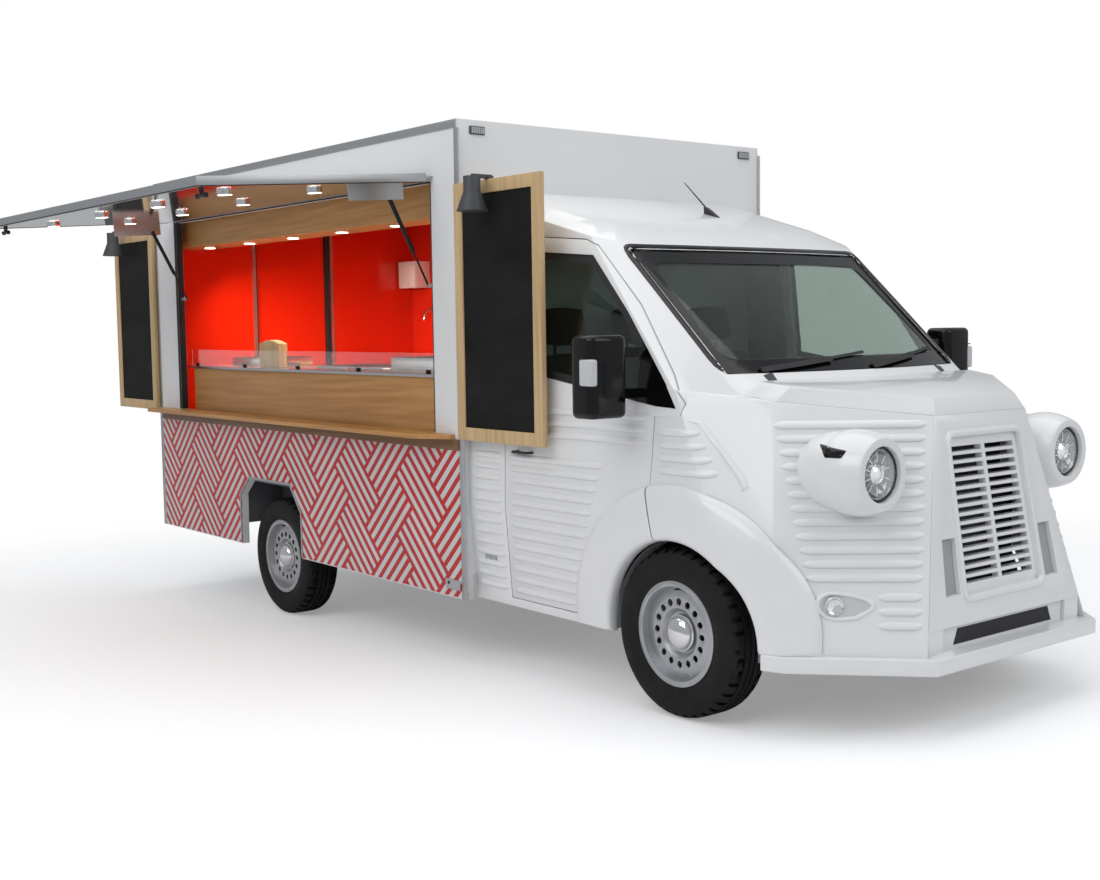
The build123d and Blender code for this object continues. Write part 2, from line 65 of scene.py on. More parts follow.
# %% The level truck
axle_right = Vector(joints["spin_front_right"]["pos_m"])
axle_left = Vector(joints["spin_front_left"]["pos_m"])
rear_right = Vector(joints["spin_rear_right"]["pos_m"])
axle = (axle_right + axle_left) / 2
ground_shift = Vector((axle.x, axle.y, 0))
steer_axis = Vector(joints["steer_right"]["axis"])
rake = atan2(steer_axis.x, steer_axis.z)
tip = Matrix.Translation(axle) @ Matrix.Rotation(rake, 4, "Y") @ Matrix.Translation((0, 0, -axle.z))
level = tip @ Matrix.Scale(0.001, 4)
print("front axle", [round(v, 3) for v in axle], "rake", round(degrees(rake), 3))

# %% [markdown]
# The camera was fitted to the photograph: its height, its turn and its lens come from the wheels and
# from the straight edges of the box. The lens is a touch wider than the fit, so that the far corner
# of the raised hatch stays in the picture.

# %% Camera
yaw, pitch, roll = radians(141.40), radians(3.513), radians(1.860)
ahead = Vector((cos(yaw) * cos(pitch), sin(yaw) * cos(pitch), -sin(pitch)))
across = ahead.cross(Vector((0, 0, 1))).normalized()
down = ahead.cross(across)
right_hand = across * cos(roll) + down * sin(roll)
up_hand = across * sin(roll) - down * cos(roll)
camera_data = bpy.data.cameras.new("photo_camera")
camera = bpy.data.objects.new("photo_camera", camera_data)
bpy.context.scene.collection.objects.link(camera)
turn = Matrix((right_hand, up_hand, -ahead)).transposed().to_4x4()
camera.matrix_world = Matrix.Translation(ground_shift + Vector((4.095, -4.886, 1.523))) @ turn
camera_data.sensor_fit = "HORIZONTAL"
camera_data.sensor_width = 36
camera_data.lens = 46.48 * 0.967
camera_data.clip_end = 200
bpy.context.scene.camera = camera
bpy.context.scene.view_settings.view_transform = "Standard"
print("camera at", [round(v, 3) for v in camera.location])

# %% [markdown]
# The studio is a pale floor under a white sky. The floor keeps the soft shadow and fades out with
# distance, so that no horizon shows. One large lamp gives the side and nose their light, a weaker one fills
# the front of the box, and small lamps inside stand for the spots over the counter.

# %% Node helpers
def new_material(name):
    mat = bpy.data.materials.new(name)
    mat.use_nodes = True
    tree = mat.node_tree
    return mat, tree.nodes, tree.links, tree.nodes["Principled BSDF"]


def join(links, a, b):
    links.new(a, b)


def object_coords(ns, ls, scale=(1, 1, 1), turn=(0, 0, 0)):
    coords = ns.new("ShaderNodeTexCoord")
    mapping = ns.new("ShaderNodeMapping")
    mapping.inputs["Scale"].default_value = scale
    mapping.inputs["Rotation"].default_value = turn
    ls.new(coords.outputs["Object"], mapping.inputs["Vector"])
    return mapping.outputs["Vector"]


def noise(ns, ls, vector, scale, detail=4.0):
    tex = ns.new("ShaderNodeTexNoise")
    tex.inputs["Scale"].default_value = scale
    tex.inputs["Detail"].default_value = detail
    ls.new(vector, tex.inputs["Vector"])
    return tex.outputs["Fac"]


def ramp(ns, ls, value, stops):
    node = ns.new("ShaderNodeValToRGB")
    while len(node.color_ramp.elements) < len(stops):
        node.color_ramp.elements.new(0.5)
    for element, (place, colour) in zip(node.color_ramp.elements, stops):
        element.position = place
        element.color = colour if len(colour) == 4 else (*colour, 1)
    ls.new(value, node.inputs["Fac"])
    return node.outputs["Color"]


def bump(ns, ls, height, bsdf, strength, distance):
    node = ns.new("ShaderNodeBump")
    node.inputs["Strength"].default_value = strength
    node.inputs["Distance"].default_value = distance
    ls.new(height, node.inputs["Height"])
    ls.new(node.outputs["Normal"], bsdf.inputs["Normal"])
    return node


def grey(v):
    return (v, v, v)


# %% Floor, sky and lamps
floor_bm = bmesh.new()
bmesh.ops.create_circle(floor_bm, cap_ends=True, radius=26, segments=64)
floor_mesh = bpy.data.meshes.new("studio_floor")
floor_bm.to_mesh(floor_mesh)
floor_bm.free()
floor = bpy.data.objects.new("studio_floor", floor_mesh)
bpy.context.scene.collection.objects.link(floor)
floor.location.z = -0.002
mat, ns, ls, bsdf = new_material("pale_floor")
bsdf.inputs["Base Color"].default_value = (0.93, 0.93, 0.935, 1)
bsdf.inputs["Roughness"].default_value = 0.55
bsdf.inputs["Specular IOR Level"].default_value = 0.15
away = ns.new("ShaderNodeVectorMath")
away.operation = "LENGTH"
ls.new(object_coords(ns, ls), away.inputs[0])
fade = ns.new("ShaderNodeMapRange")
fade.interpolation_type = "SMOOTHSTEP"
fade.inputs["From Min"].default_value = 3.2
fade.inputs["From Max"].default_value = 7.0
ls.new(away.outputs["Value"], fade.inputs["Value"])
clear = ns.new("ShaderNodeBsdfTransparent")
mixer = ns.new("ShaderNodeMixShader")
ls.new(fade.outputs["Result"], mixer.inputs["Fac"])
path = ns.new("ShaderNodeLightPath")
lift = ns.new("ShaderNodeMath")
lift.operation = "MULTIPLY"
lift.inputs[1].default_value = 0.26
ls.new(path.outputs["Is Camera Ray"], lift.inputs[0])
ls.new(lift.outputs["Value"], bsdf.inputs["Emission Strength"])
bsdf.inputs["Emission Color"].default_value = (1, 1, 1, 1)
ls.new(bsdf.outputs["BSDF"], mixer.inputs[1])
ls.new(clear.outputs["BSDF"], mixer.inputs[2])
ls.new(mixer.outputs["Shader"], ns["Material Output"].inputs["Surface"])
floor_mesh.materials.append(mat)

world = bpy.data.worlds.new("studio_sky")
bpy.context.scene.world = world
world.use_nodes = True
ns, ls = world.node_tree.nodes, world.node_tree.links
path = ns.new("ShaderNodeLightPath")
seen = ns.new("ShaderNodeMath")
seen.operation = "MAXIMUM"
ls.new(path.outputs["Is Camera Ray"], seen.inputs[0])
ls.new(path.outputs["Is Transmission Ray"], seen.inputs[1])
soft = ns.new("ShaderNodeBackground")
soft.inputs["Color"].default_value = (0.93, 0.96, 1.0, 1)
soft.inputs["Strength"].default_value = 0.42
white = ns.new("ShaderNodeBackground")
white.inputs["Color"].default_value = (1, 1, 1, 1)
white.inputs["Strength"].default_value = 1.0
sky_mix = ns.new("ShaderNodeMixShader")
ls.new(seen.outputs["Value"], sky_mix.inputs["Fac"])
ls.new(soft.outputs["Background"], sky_mix.inputs[1])
ls.new(white.outputs["Background"], sky_mix.inputs[2])
ls.new(sky_mix.outputs["Shader"], ns["World Output"].inputs["Surface"])


def area_lamp(name, place, aim, size, power, colour=(1, 1, 1)):
    data = bpy.data.lights.new(name, "AREA")
    data.shape = "RECTANGLE"
    data.size, data.size_y = size
    data.energy = power
    data.color = colour
    lamp = bpy.data.objects.new(name, data)
    bpy.context.scene.collection.objects.link(lamp)
    lamp.location = place
    lamp.rotation_euler = (Vector(aim) - Vector(place)).to_track_quat("-Z", "Y").to_euler()
    return lamp


area_lamp("key_lamp", (2.5, -8.5, 7.5), (0, -0.5, 1.2), (9, 5), 300)
area_lamp("front_fill", (9.5, 2.5, 6.0), (0.5, 0.4, 1.2), (7, 5), 170)
area_lamp("top_soft", (0.0, 0.0, 8.5), (0, 0, 1), (11, 9), 330)
warm = (1.0, 0.86, 0.68)
for name, place, aim, size, power in (
    ("counter_glow", (-3200, -780, 2150), (-3200, 200, 1000), (3.0, 0.2), 60),
    ("hatch_glow", (-3200, -1650, 2250), (-3200, -1500, 0), (2.8, 0.7), 0.6),
):
    lamp = area_lamp(name, level @ Vector(place), level @ Vector(aim), size, power, warm)
    lamp.visible_camera = False
    lamp.data.spread = radians(118)

# %% [markdown]
# Finishes. Each one is a small node tree on Object coordinates, so it stays on its piece when a joint
# moves, with fine colour change and a trace of bump at the real scale.

# %% Paints, metals, plastics
def paint(name, colour, rough, coat, grain_scale, grain, flake=0.0):
    mat, ns, ls, bsdf = new_material(name)
    place = object_coords(ns, ls)
    cloud = noise(ns, ls, place, 1.7, 3)
    low = tuple(c * 0.965 for c in colour)
    ls.new(ramp(ns, ls, cloud, [(0.3, low), (0.7, colour)]), bsdf.inputs["Base Color"])
    bsdf.inputs["Roughness"].default_value = rough
    bsdf.inputs["Coat Weight"].default_value = coat
    bsdf.inputs["Coat Roughness"].default_value = 0.06
    bsdf.inputs["Metallic"].default_value = flake
    bump(ns, ls, noise(ns, ls, place, grain_scale, 2), bsdf, grain, 0.0004)
    return mat


def metal(name, colour, rough, along=(1, 60, 60), strength=0.12):
    mat, ns, ls, bsdf = new_material(name)
    streak = noise(ns, ls, object_coords(ns, ls, along), 9, 3)
    low = tuple(c * 0.86 for c in colour)
    ls.new(ramp(ns, ls, streak, [(0.25, low), (0.75, colour)]), bsdf.inputs["Base Color"])
    bsdf.inputs["Metallic"].default_value = 1.0
    bsdf.inputs["Roughness"].default_value = rough
    bump(ns, ls, streak, bsdf, strength, 0.0004)
    return mat


def moulded(name, colour, rough, grain=0.25, scale=420):
    mat, ns, ls, bsdf = new_material(name)
    place = object_coords(ns, ls)
    cell = ns.new("ShaderNodeTexVoronoi")
    cell.inputs["Scale"].default_value = scale
    ls.new(place, cell.inputs["Vector"])
    wear = noise(ns, ls, place, 6, 5)
    high = tuple(min(1, c * 1.25 + 0.004) for c in colour)
    ls.new(ramp(ns, ls, wear, [(0.35, colour), (0.75, high)]), bsdf.inputs["Base Color"])
    bsdf.inputs["Roughness"].default_value = rough
    bump(ns, ls, cell.outputs["Distance"], bsdf, grain, 0.0005)
    return mat


def glass(name, colour, rough=0.0, ior=1.45, alpha=None):
    mat, ns, ls, bsdf = new_material(name)
    bsdf.inputs["Base Color"].default_value = (*colour, 1)
    bsdf.inputs["Transmission Weight"].default_value = 1.0
    bsdf.inputs["IOR"].default_value = ior
    smear = noise(ns, ls, object_coords(ns, ls), 3.5, 4)
    ls.new(ramp(ns, ls, smear, [(0.3, grey(rough)), (0.8, grey(rough + 0.03))]), bsdf.inputs["Roughness"])
    return mat


def glow(name, colour, power):
    mat, ns, ls, bsdf = new_material(name)
    bsdf.inputs["Base Color"].default_value = (*colour, 1)
    bsdf.inputs["Roughness"].default_value = 0.35
    bsdf.inputs["Emission Color"].default_value = (*colour, 1)
    bsdf.inputs["Emission Strength"].default_value = power
    ripple = noise(ns, ls, object_coords(ns, ls), 160, 2)
    bump(ns, ls, ripple, bsdf, 0.1, 0.0004)
    return mat


white_gloss = paint("white_gloss", (0.86, 0.865, 0.87), 0.28, 0.6, 900, 0.05)
panel_white = paint("panel_white", (0.84, 0.845, 0.85), 0.34, 0.25, 500, 0.08)
red_gloss = paint("red_gloss", (0.80, 0.022, 0.004), 0.2, 0.5, 700, 0.05)
wheel_silver = paint("wheel_silver", (0.46, 0.47, 0.49), 0.36, 0.3, 1400, 0.08, 0.75)
lamp_grey = paint("lamp_grey", (0.055, 0.06, 0.066), 0.5, 0.0, 1200, 0.12)
mirror_black = paint("mirror_black", (0.004, 0.004, 0.0045), 0.12, 0.3, 900, 0.04)
mirror_black.node_tree.nodes["Principled BSDF"].inputs["Specular IOR Level"].default_value = 0.2
lamp_pale = paint("lamp_pale", (0.42, 0.43, 0.44), 0.4, 0.2, 900, 0.06)
# Painted shade: this grey stands for the shade in the recessed vent pockets of the white nose.
vent_painted_shade = paint("vent_painted_shade", (0.40, 0.41, 0.42), 0.45, 0.1, 900, 0.06)
polished_white = paint("polished_white", (0.62, 0.62, 0.63), 0.07, 1.0, 300, 0.02, 0.55)
red_lens = paint("red_lens", (0.35, 0.006, 0.008), 0.12, 1.0, 400, 0.2)
amber_lens = paint("amber_lens", (0.55, 0.16, 0.01), 0.12, 1.0, 400, 0.2)
pale_lens = paint("pale_lens", (0.62, 0.63, 0.64), 0.1, 1.0, 400, 0.2)
aluminium = metal("aluminium", (0.55, 0.56, 0.57), 0.42)
steel = metal("steel", (0.66, 0.66, 0.67), 0.24)
chrome = metal("chrome", (0.86, 0.86, 0.88), 0.06, (1, 1, 1), 0.02)
iron = metal("iron", (0.12, 0.12, 0.125), 0.55, (8, 8, 8), 0.3)
black_metal = metal("black_metal", (0.035, 0.035, 0.038), 0.35, (4, 4, 4), 0.15)
black_plastic = moulded("black_plastic", (0.012, 0.012, 0.013), 0.45)
soft_black = moulded("soft_black", (0.018, 0.018, 0.02), 0.7, 0.4, 300)
floor_grey = moulded("floor_grey", (0.09, 0.095, 0.1), 0.6, 0.4, 180)
smoked_chrome = metal("smoked_chrome", (0.30, 0.31, 0.33), 0.14)
# Painted shade: the fog pockets are white like the wings, and this pale grey stands for the shade in their hollow.
fog_pocket_painted_shade = paint("fog_pocket_painted_shade", (0.64, 0.65, 0.66), 0.4, 0.2, 900, 0.06)
cab_lining = moulded("cab_lining", (0.05, 0.052, 0.055), 0.8, 0.4, 300)
# Painted shade: the arch liners are white paint, and this grey-blue stands for their shade inside the arch.
arch_liner_painted_shade = paint("arch_liner_painted_shade", (0.60, 0.62, 0.65), 0.5, 0.1, 500, 0.1)
clear_glass = glass("clear_glass", (0.96, 0.98, 0.97))
tinted_glass = glass("tinted_glass", (0.46, 0.54, 0.50), 0.0, 1.33)
warm_glow = glow("warm_glow", (1.0, 0.93, 0.82), 6.0)

# %% Wood, slate, cloth, rubber
def oak(name, light, dark, along):
    mat, ns, ls, bsdf = new_material(name)
    stretch = {"x": (0.35, 9, 9), "z": (9, 9, 0.35)}[along]
    place = object_coords(ns, ls, stretch)
    grain = noise(ns, ls, place, 4, 8)
    pores = noise(ns, ls, object_coords(ns, ls, tuple(c * 9 for c in stretch)), 9, 3)
    both = ns.new("ShaderNodeMath")
    both.operation = "MULTIPLY_ADD"
    both.inputs[1].default_value = 0.3
    ls.new(pores, both.inputs[0])
    ls.new(grain, both.inputs[2])
    mid = tuple((a + b) / 2 for a, b in zip(light, dark))
    ls.new(ramp(ns, ls, both.outputs["Value"], [(0.42, dark), (0.62, mid), (0.85, light)]), bsdf.inputs["Base Color"])
    bsdf.inputs["Roughness"].default_value = 0.42
    bump(ns, ls, both.outputs["Value"], bsdf, 0.25, 0.0006)
    return mat


oak_frame = oak("oak_frame", (0.70, 0.50, 0.27), (0.50, 0.32, 0.15), "z")
oak_long = oak("oak_long", (0.64, 0.34, 0.12), (0.44, 0.21, 0.06), "x")
# A shaded copy of the oak: painted shade for the board below the serving shelf, which lies in shadow.
oak_painted_shade = oak("oak_painted_shade", (0.26, 0.13, 0.05), (0.13, 0.06, 0.022), "x")

mat, ns, ls, bsdf = new_material("slate_black")
place = object_coords(ns, ls)
dust = noise(ns, ls, object_coords(ns, ls, (1, 1, 2.2)), 2.6, 8)
ls.new(ramp(ns, ls, dust, [(0.35, grey(0.007)), (0.75, grey(0.016))]), bsdf.inputs["Base Color"])
bsdf.inputs["Roughness"].default_value = 0.62
bump(ns, ls, noise(ns, ls, place, 700, 2), bsdf, 0.15, 0.0003)
bsdf.inputs["Specular IOR Level"].default_value = 0.15
slate_black = mat

mat, ns, ls, bsdf = new_material("seat_cloth")
place = object_coords(ns, ls)
weave = ns.new("ShaderNodeTexChecker")
weave.inputs["Scale"].default_value = 340
weave.inputs["Color1"].default_value = (*grey(0.03), 1)
weave.inputs["Color2"].default_value = (*grey(0.052), 1)
ls.new(place, weave.inputs["Vector"])
ls.new(weave.outputs["Color"], bsdf.inputs["Base Color"])
bsdf.inputs["Roughness"].default_value = 0.85
bsdf.inputs["Sheen Weight"].default_value = 0.25
bump(ns, ls, weave.outputs["Fac"], bsdf, 0.4, 0.0006)
seat_cloth = mat

mat, ns, ls, bsdf = new_material("tyre_rubber")
place = object_coords(ns, ls)
dust = noise(ns, ls, place, 14, 6)
ls.new(ramp(ns, ls, dust, [(0.3, grey(0.007)), (0.8, grey(0.016))]), bsdf.inputs["Base Color"])
bsdf.inputs["Roughness"].default_value = 0.62
bump(ns, ls, noise(ns, ls, place, 420, 3), bsdf, 0.25, 0.0005)
bsdf.inputs["Specular IOR Level"].default_value = 0.22
tyre_rubber = mat
print("finishes", len(bpy.data.materials))

# %% [markdown]
# The lower panel carries a traditional herringbone. In the photo its blocks repeat every 632 mm along the truck
# and every 316 mm up it, so the blocks are twice as long as wide and lie at 45 degrees. Each cell of a slanted grid
# belongs to a block along u or a block along v, by the remainder of (column - row) over four; inside a
# block, four pale bars run along it with a red gap at the sides and ends.

# %% Herringbone print
def woven_print():
    mat, ns, ls, bsdf = new_material("woven_print")

    def calc(kind, a, b=None, c=None):
        node = ns.new("ShaderNodeMath")
        node.operation = kind
        for slot, v in zip(node.inputs, (a, b, c)):
            if isinstance(v, (int, float)):
                slot.default_value = v
            elif v is not None:
                ls.new(v, slot)
        return node.outputs["Value"]

    part = ns.new("ShaderNodeSeparateXYZ")
    ls.new(object_coords(ns, ls, (1, 1, 1), (0, -rake, 0)), part.inputs["Vector"])
    block = 0.632 / 2 / sqrt(2)
    corner = Matrix.Rotation(-rake, 3, "Y") @ (level @ Vector((-1874, -1051, 715)))
    east = calc("SUBTRACT", part.outputs["X"], corner.x)
    north = calc("SUBTRACT", part.outputs["Z"], corner.z)
    u = calc("MULTIPLY_ADD", calc("ADD", east, north), 1 / sqrt(2) / block, 2.0)
    v = calc("MULTIPLY", calc("SUBTRACT", north, east), 1 / sqrt(2) / block)
    column, row = calc("FLOOR", u), calc("FLOOR", v)
    turn = calc("FLOORED_MODULO", calc("SUBTRACT", column, row), 4.0)
    leans = calc("GREATER_THAN", turn, 1.5)
    fu, fv = calc("SUBTRACT", u, column), calc("SUBTRACT", v, row)

    def either(a, b):
        return calc("MULTIPLY_ADD", calc("SUBTRACT", b, a), leans, a)

    along = either(calc("ADD", fu, turn), calc("ADD", fv, calc("SUBTRACT", 3.0, turn)))
    across = calc("FRACT", calc("MULTIPLY", either(fv, fu), 4.0))
    side = calc("LESS_THAN", calc("ABSOLUTE", calc("SUBTRACT", across, 0.5)), 0.255)
    ends = calc("LESS_THAN", calc("ABSOLUTE", calc("SUBTRACT", along, 1.0)), 0.945)
    line = calc("MULTIPLY", side, ends)
    cloud = noise(ns, ls, object_coords(ns, ls), 3, 4)
    red = ramp(ns, ls, cloud, [(0.3, (0.50, 0.006, 0.008)), (0.7, (0.58, 0.009, 0.010))])
    pale = ramp(ns, ls, cloud, [(0.3, (0.62, 0.615, 0.61)), (0.7, (0.69, 0.685, 0.68))])
    pick = ns.new("ShaderNodeMix")
    pick.data_type = "RGBA"
    for slot, value in zip([s for s in pick.inputs if s.enabled], (line, red, pale)):
        ls.new(value, slot)
    ls.new([s for s in pick.outputs if s.enabled][0], bsdf.inputs["Base Color"])
    bsdf.inputs["Roughness"].default_value = 0.38
    bsdf.inputs["Coat Weight"].default_value = 0.15
    bump(ns, ls, line, bsdf, 0.08, 0.0004)
    return mat


woven = woven_print()

# %% [markdown]
# Every CAD node gets a finish. Nodes with curved or cut edges are shown by a merged copy: the loose
# triangles are welded, flat faces are dissolved, sharp edges get a small round, and the shading is smooth.

# %% Dress the solids
finish_of = {
    white_gloss: "cab_shell door_left door_right wing_left wing_right nose_panel grille bonnet bumper headlamp_pods",
    panel_white: "box_roof box_wall_front box_wall_left box_wall_rear box_wall_right rear_door towel_box",
    aluminium: "box_trim hatch",
    woven: "striped_panel",
    red_gloss: "wall_lining",
    oak_long: "counter soffit serving_shelf",
    oak_frame: "board_front board_rear",
    slate_black: "slate_front slate_rear",
    lamp_grey: "bell_lamp_front bell_lamp_rear",
    steel: "counter_top rear_axle",
    clear_glass: "glass_guard",
    tinted_glass: "cab_glass door_glass_left",
    mirror_black: "mirror_left mirror_right",
    soft_black: "dashboard",
    black_metal: "strut_rods strut_barrels",
    chrome: "lamps",
    seat_cloth: "seats",
    floor_grey: "box_floor",
    iron: "chassis_frame engine front_suspension knuckle_left knuckle_right",
    warm_glow: "hatch_lights",
    tyre_rubber: "tyre_front_right tyre_front_left tyre_rear_right tyre_rear_left",
    wheel_silver: "rim_front_right rim_front_left rim_rear_right rim_rear_left",
}
for mat, names in finish_of.items():
    for name in names.split():
        nodes[name].data.materials.clear()
        nodes[name].data.materials.append(mat)
print("dressed", sum(len(n.split()) for n in finish_of.values()), "of", len(nodes))

# %% [markdown]
# A maker's small tool set. Every shape starts from a bmesh operator in millimetres on the level truck;
# make_piece tips it into place, turns its faces outwards, shades it and hangs it on its body.

# %% Modelling tools
def make_piece(name, bm, material, body="base", smooth=35, matrix=None):
    bmesh.ops.transform(bm, matrix=level if matrix is None else matrix, verts=bm.verts[:])
    bmesh.ops.recalc_face_normals(bm, faces=bm.faces[:])
    mesh = bpy.data.meshes.new(name)
    bm.to_mesh(mesh)
    bm.free()
    mesh.shade_smooth()
    mesh.set_sharp_from_angle(angle=radians(smooth))
    for m in material if isinstance(material, (list, tuple)) else [material]:
        mesh.materials.append(m)
    piece = bpy.data.objects.new(name, mesh)
    bpy.context.scene.collection.objects.link(piece)
    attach(piece, body)
    return piece


def bar(bm, x, y, z):
    """A box over three ranges."""
    spot = Matrix.Translation((sum(x) / 2, sum(y) / 2, sum(z) / 2))
    size = Matrix.Diagonal((abs(x[1] - x[0]), abs(y[1] - y[0]), abs(z[1] - z[0]), 1))
    return bmesh.ops.create_cube(bm, size=1, matrix=spot @ size)["verts"]


def span(s, a, b):
    """A range on the right (s = -1) or the left (s = 1)."""
    return tuple(sorted((s * a, s * b)))


facing = {"x": Matrix.Rotation(pi / 2, 4, "Y"), "y": Matrix.Rotation(-pi / 2, 4, "X"), "z": Matrix.Identity(4)}


def drum(bm, centre, axis, r1, r2, depth, segments=32):
    """A closed cylinder or cone with its middle at centre; r2 is the end further along the axis."""
    spot = Matrix.Translation(centre) @ facing[axis]
    return bmesh.ops.create_cone(bm, cap_ends=True, radius1=r1, radius2=r2, depth=depth, segments=segments,
                                 matrix=spot)["verts"]


def lathe(bm, profile, centre, axis, steps=48):
    """Spin an open (radius, along) profile round an axis through centre."""
    spot = Matrix.Translation(centre) @ facing[axis]
    verts = [bm.verts.new(spot @ Vector((r, 0, h))) for r, h in profile]
    edges = [bm.edges.new(pair) for pair in zip(verts, verts[1:])]
    made = bmesh.ops.spin(bm, geom=verts + edges, cent=centre, axis=spot.to_3x3() @ Vector((0, 0, 1)), angle=2 * pi,
                          steps=steps, use_merge=True)
    bmesh.ops.remove_doubles(bm, verts=bm.verts[:], dist=0.05)
    return made


def soften(bm, width, segments=2, angle=30, edges=None):
    """Round every edge sharper than an angle."""
    if edges is None:
        edges = [e for e in bm.edges if len(e.link_faces) == 2 and e.calc_face_angle(0) > radians(angle)]
    bmesh.ops.bevel(bm, geom=edges, offset=width, offset_type="OFFSET", affect="EDGES", segments=segments,
                    profile=0.5, material=-1, clamp_overlap=True)


def outline(bm, points, plane, depth):
    """A flat outline on a plane ("xz", "yz" or "xy"), carried through a depth range."""
    def spot(a, b, d):
        return {"xz": (a, d, b), "yz": (d, a, b), "xy": (a, b, d)}[plane]
    face = bm.faces.new([bm.verts.new(spot(a, b, depth[0])) for a, b in points])
    made = bmesh.ops.extrude_face_region(bm, geom=[face])["geom"]
    move = Vector(spot(0, 0, depth[1] - depth[0]))
    bmesh.ops.translate(bm, verts=[v for v in made if isinstance(v, bmesh.types.BMVert)], vec=move)
    return face


# The two upright corners of each front wing, from the sill to the shoulder.
corner_lines = [[(545, 925, 300), (470, 905, 800), (345, 772, 1320)], [(330, 985, 300), (250, 1012, 800), (10, 985, 1366)]]


def on_line(p, line):
    """Whether a level point lies on a run of straight lines, left or right."""
    p = Vector((p.x, abs(p.y), p.z))
    for a, b in zip(line, line[1:]):
        a, b = Vector(a), Vector(b)
        t = min(1, max(0, (p - a).dot(b - a) / (b - a).length_squared))
        if (p - a.lerp(b, t)).length < 9:
            return True
    return False


def dressed_copy(node, material, width=0.003, angle=25, smooth=30, segments=2, corner=0):
    """A welded copy of a CAD node with rounded edges, shown in its place."""
    bm = bmesh.new()
    bm.from_mesh(nodes[node].data)
    bmesh.ops.remove_doubles(bm, verts=bm.verts[:], dist=2e-5)
    bmesh.ops.dissolve_limit(bm, angle_limit=radians(0.6), verts=bm.verts[:], edges=bm.edges[:])
    if corner:
        back = level.inverted()
        for line in corner_lines:
            edges = [e for e in bm.edges if len(e.link_faces) == 2
                     and all(on_line(back @ v.co, line) for v in e.verts)]
            soften(bm, corner, 6, edges=edges)
    if width:
        soften(bm, width, segments, angle)
    for face in bm.faces:
        face.material_index = 0
    piece = make_piece(node + "_skin", bm, material, nodes[node]["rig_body"], smooth, Matrix.Identity(4))
    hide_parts(node)
    return piece


# %% Weld and round the solids
rounded_nodes = {
    0.004: "door_left door_right nose_panel",
    0.006: "bonnet bumper cab_shell",
    0.003: "headlamp_pods grille board_front board_rear serving_shelf counter towel_box soffit",
    0.0015: "hatch box_trim counter_top rear_door",
}
skins = {}
for width, names in rounded_nodes.items():
    for name in names.split():
        skins[name] = dressed_copy(name, nodes[name].data.materials[0], width)
for name in "wing_left wing_right".split():
    skins[name] = dressed_copy(name, nodes[name].data.materials[0], 0.004, corner=0)
for name in "bell_lamp_front bell_lamp_rear dashboard".split():
    skins[name] = dressed_copy(name, nodes[name].data.materials[0], 0.002, 40)
# A second finish on part of a skin, chosen by where its faces lie on the level truck and where they look.
cab_middle = Vector((-750, 0, 1550))
for name, material, chosen in (
    # The shelf's lower board, below z 1086, gets the painted shade of the oak.
    ("serving_shelf", oak_painted_shade, lambda p, n: p.z < 1086),
    ("rear_door", black_plastic, lambda p, n: p.x < -5047),
    ("cab_shell", cab_lining, lambda p, n: p.z > 1100 and n.dot((cab_middle - p).normalized()) > 0.25),
):
    mesh = skins[name].data
    mesh.materials.append(material)
    for face in mesh.polygons:
        face.material_index = int(chosen(level.inverted() @ face.center, tip.to_3x3().inverted() @ face.normal))
print("welded skins", len(skins), "triangles", sum(len(p.data.polygons) for p in skins.values()))

# %% [markdown]
# A tyre is a turned shape with a pattern cut into it. The section is spun round the axle, with four grooves
# in the tread; then every third step of the shoulder is sunk, which gives the slots between the blocks.

# %% Tyres
tyre_section = [(207, -84), (221, -88), (232, -95), (262, -103), (290, -104.5), (318, -101), (336, -94), (347, -84),
                (352, -72), (354, -60), (354.5, -53), (346, -51), (346, -45), (354.8, -43), (355, -20), (346, -18),
                (346, -11), (355, -9), (355, 9), (346, 11), (346, 18), (355, 20), (354.8, 43), (346, 45), (346, 51),
                (354.5, 53), (354, 60), (352, 72), (347, 84), (336, 94), (318, 101), (290, 104.5), (262, 103),
                (232, 95), (221, 88), (207, 84), (207, -84)]
corners = ["front_right", "front_left", "rear_right", "rear_left"]
for corner in corners:
    hub = Vector(joints["spin_" + corner]["pos_m"])
    bm = bmesh.new()
    steps = 120
    lathe(bm, [(r, a) for r, a in tyre_section], (0, 0, 0), "y", steps)
    bmesh.ops.recalc_face_normals(bm, faces=bm.faces[:])
    slots = []
    for face in bm.faces:
        mid = face.calc_center_median()
        r = sqrt(mid.x ** 2 + mid.z ** 2)
        step = int((atan2(mid.z, mid.x) / (2 * pi) + 1) * steps + (0.5 if mid.y > 0 else 1.5)) % 3
        if step == 0 and 53 < abs(mid.y) < 92 and r > 338:
            slots.append(face)
    sunk = bmesh.ops.extrude_discrete_faces(bm, faces=slots)["faces"]
    for face in sunk:
        mid = face.calc_center_median()
        inwards = Vector((mid.x, 0, mid.z)).normalized() * -6
        flat = Vector((mid.x, 0, mid.z)).normalized()
        bmesh.ops.translate(bm, verts=face.verts[:], vec=inwards)
    place = Matrix.Translation(hub) @ Matrix.Scale(0.001, 4)
    tyre = make_piece("tyre_" + corner + "_tread", bm, tyre_rubber, "wheel_" + corner, 28, place)
    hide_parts("tyre_" + corner)
print("tyre triangles", sum(len(p.vertices) - 2 for p in tyre.data.polygons))
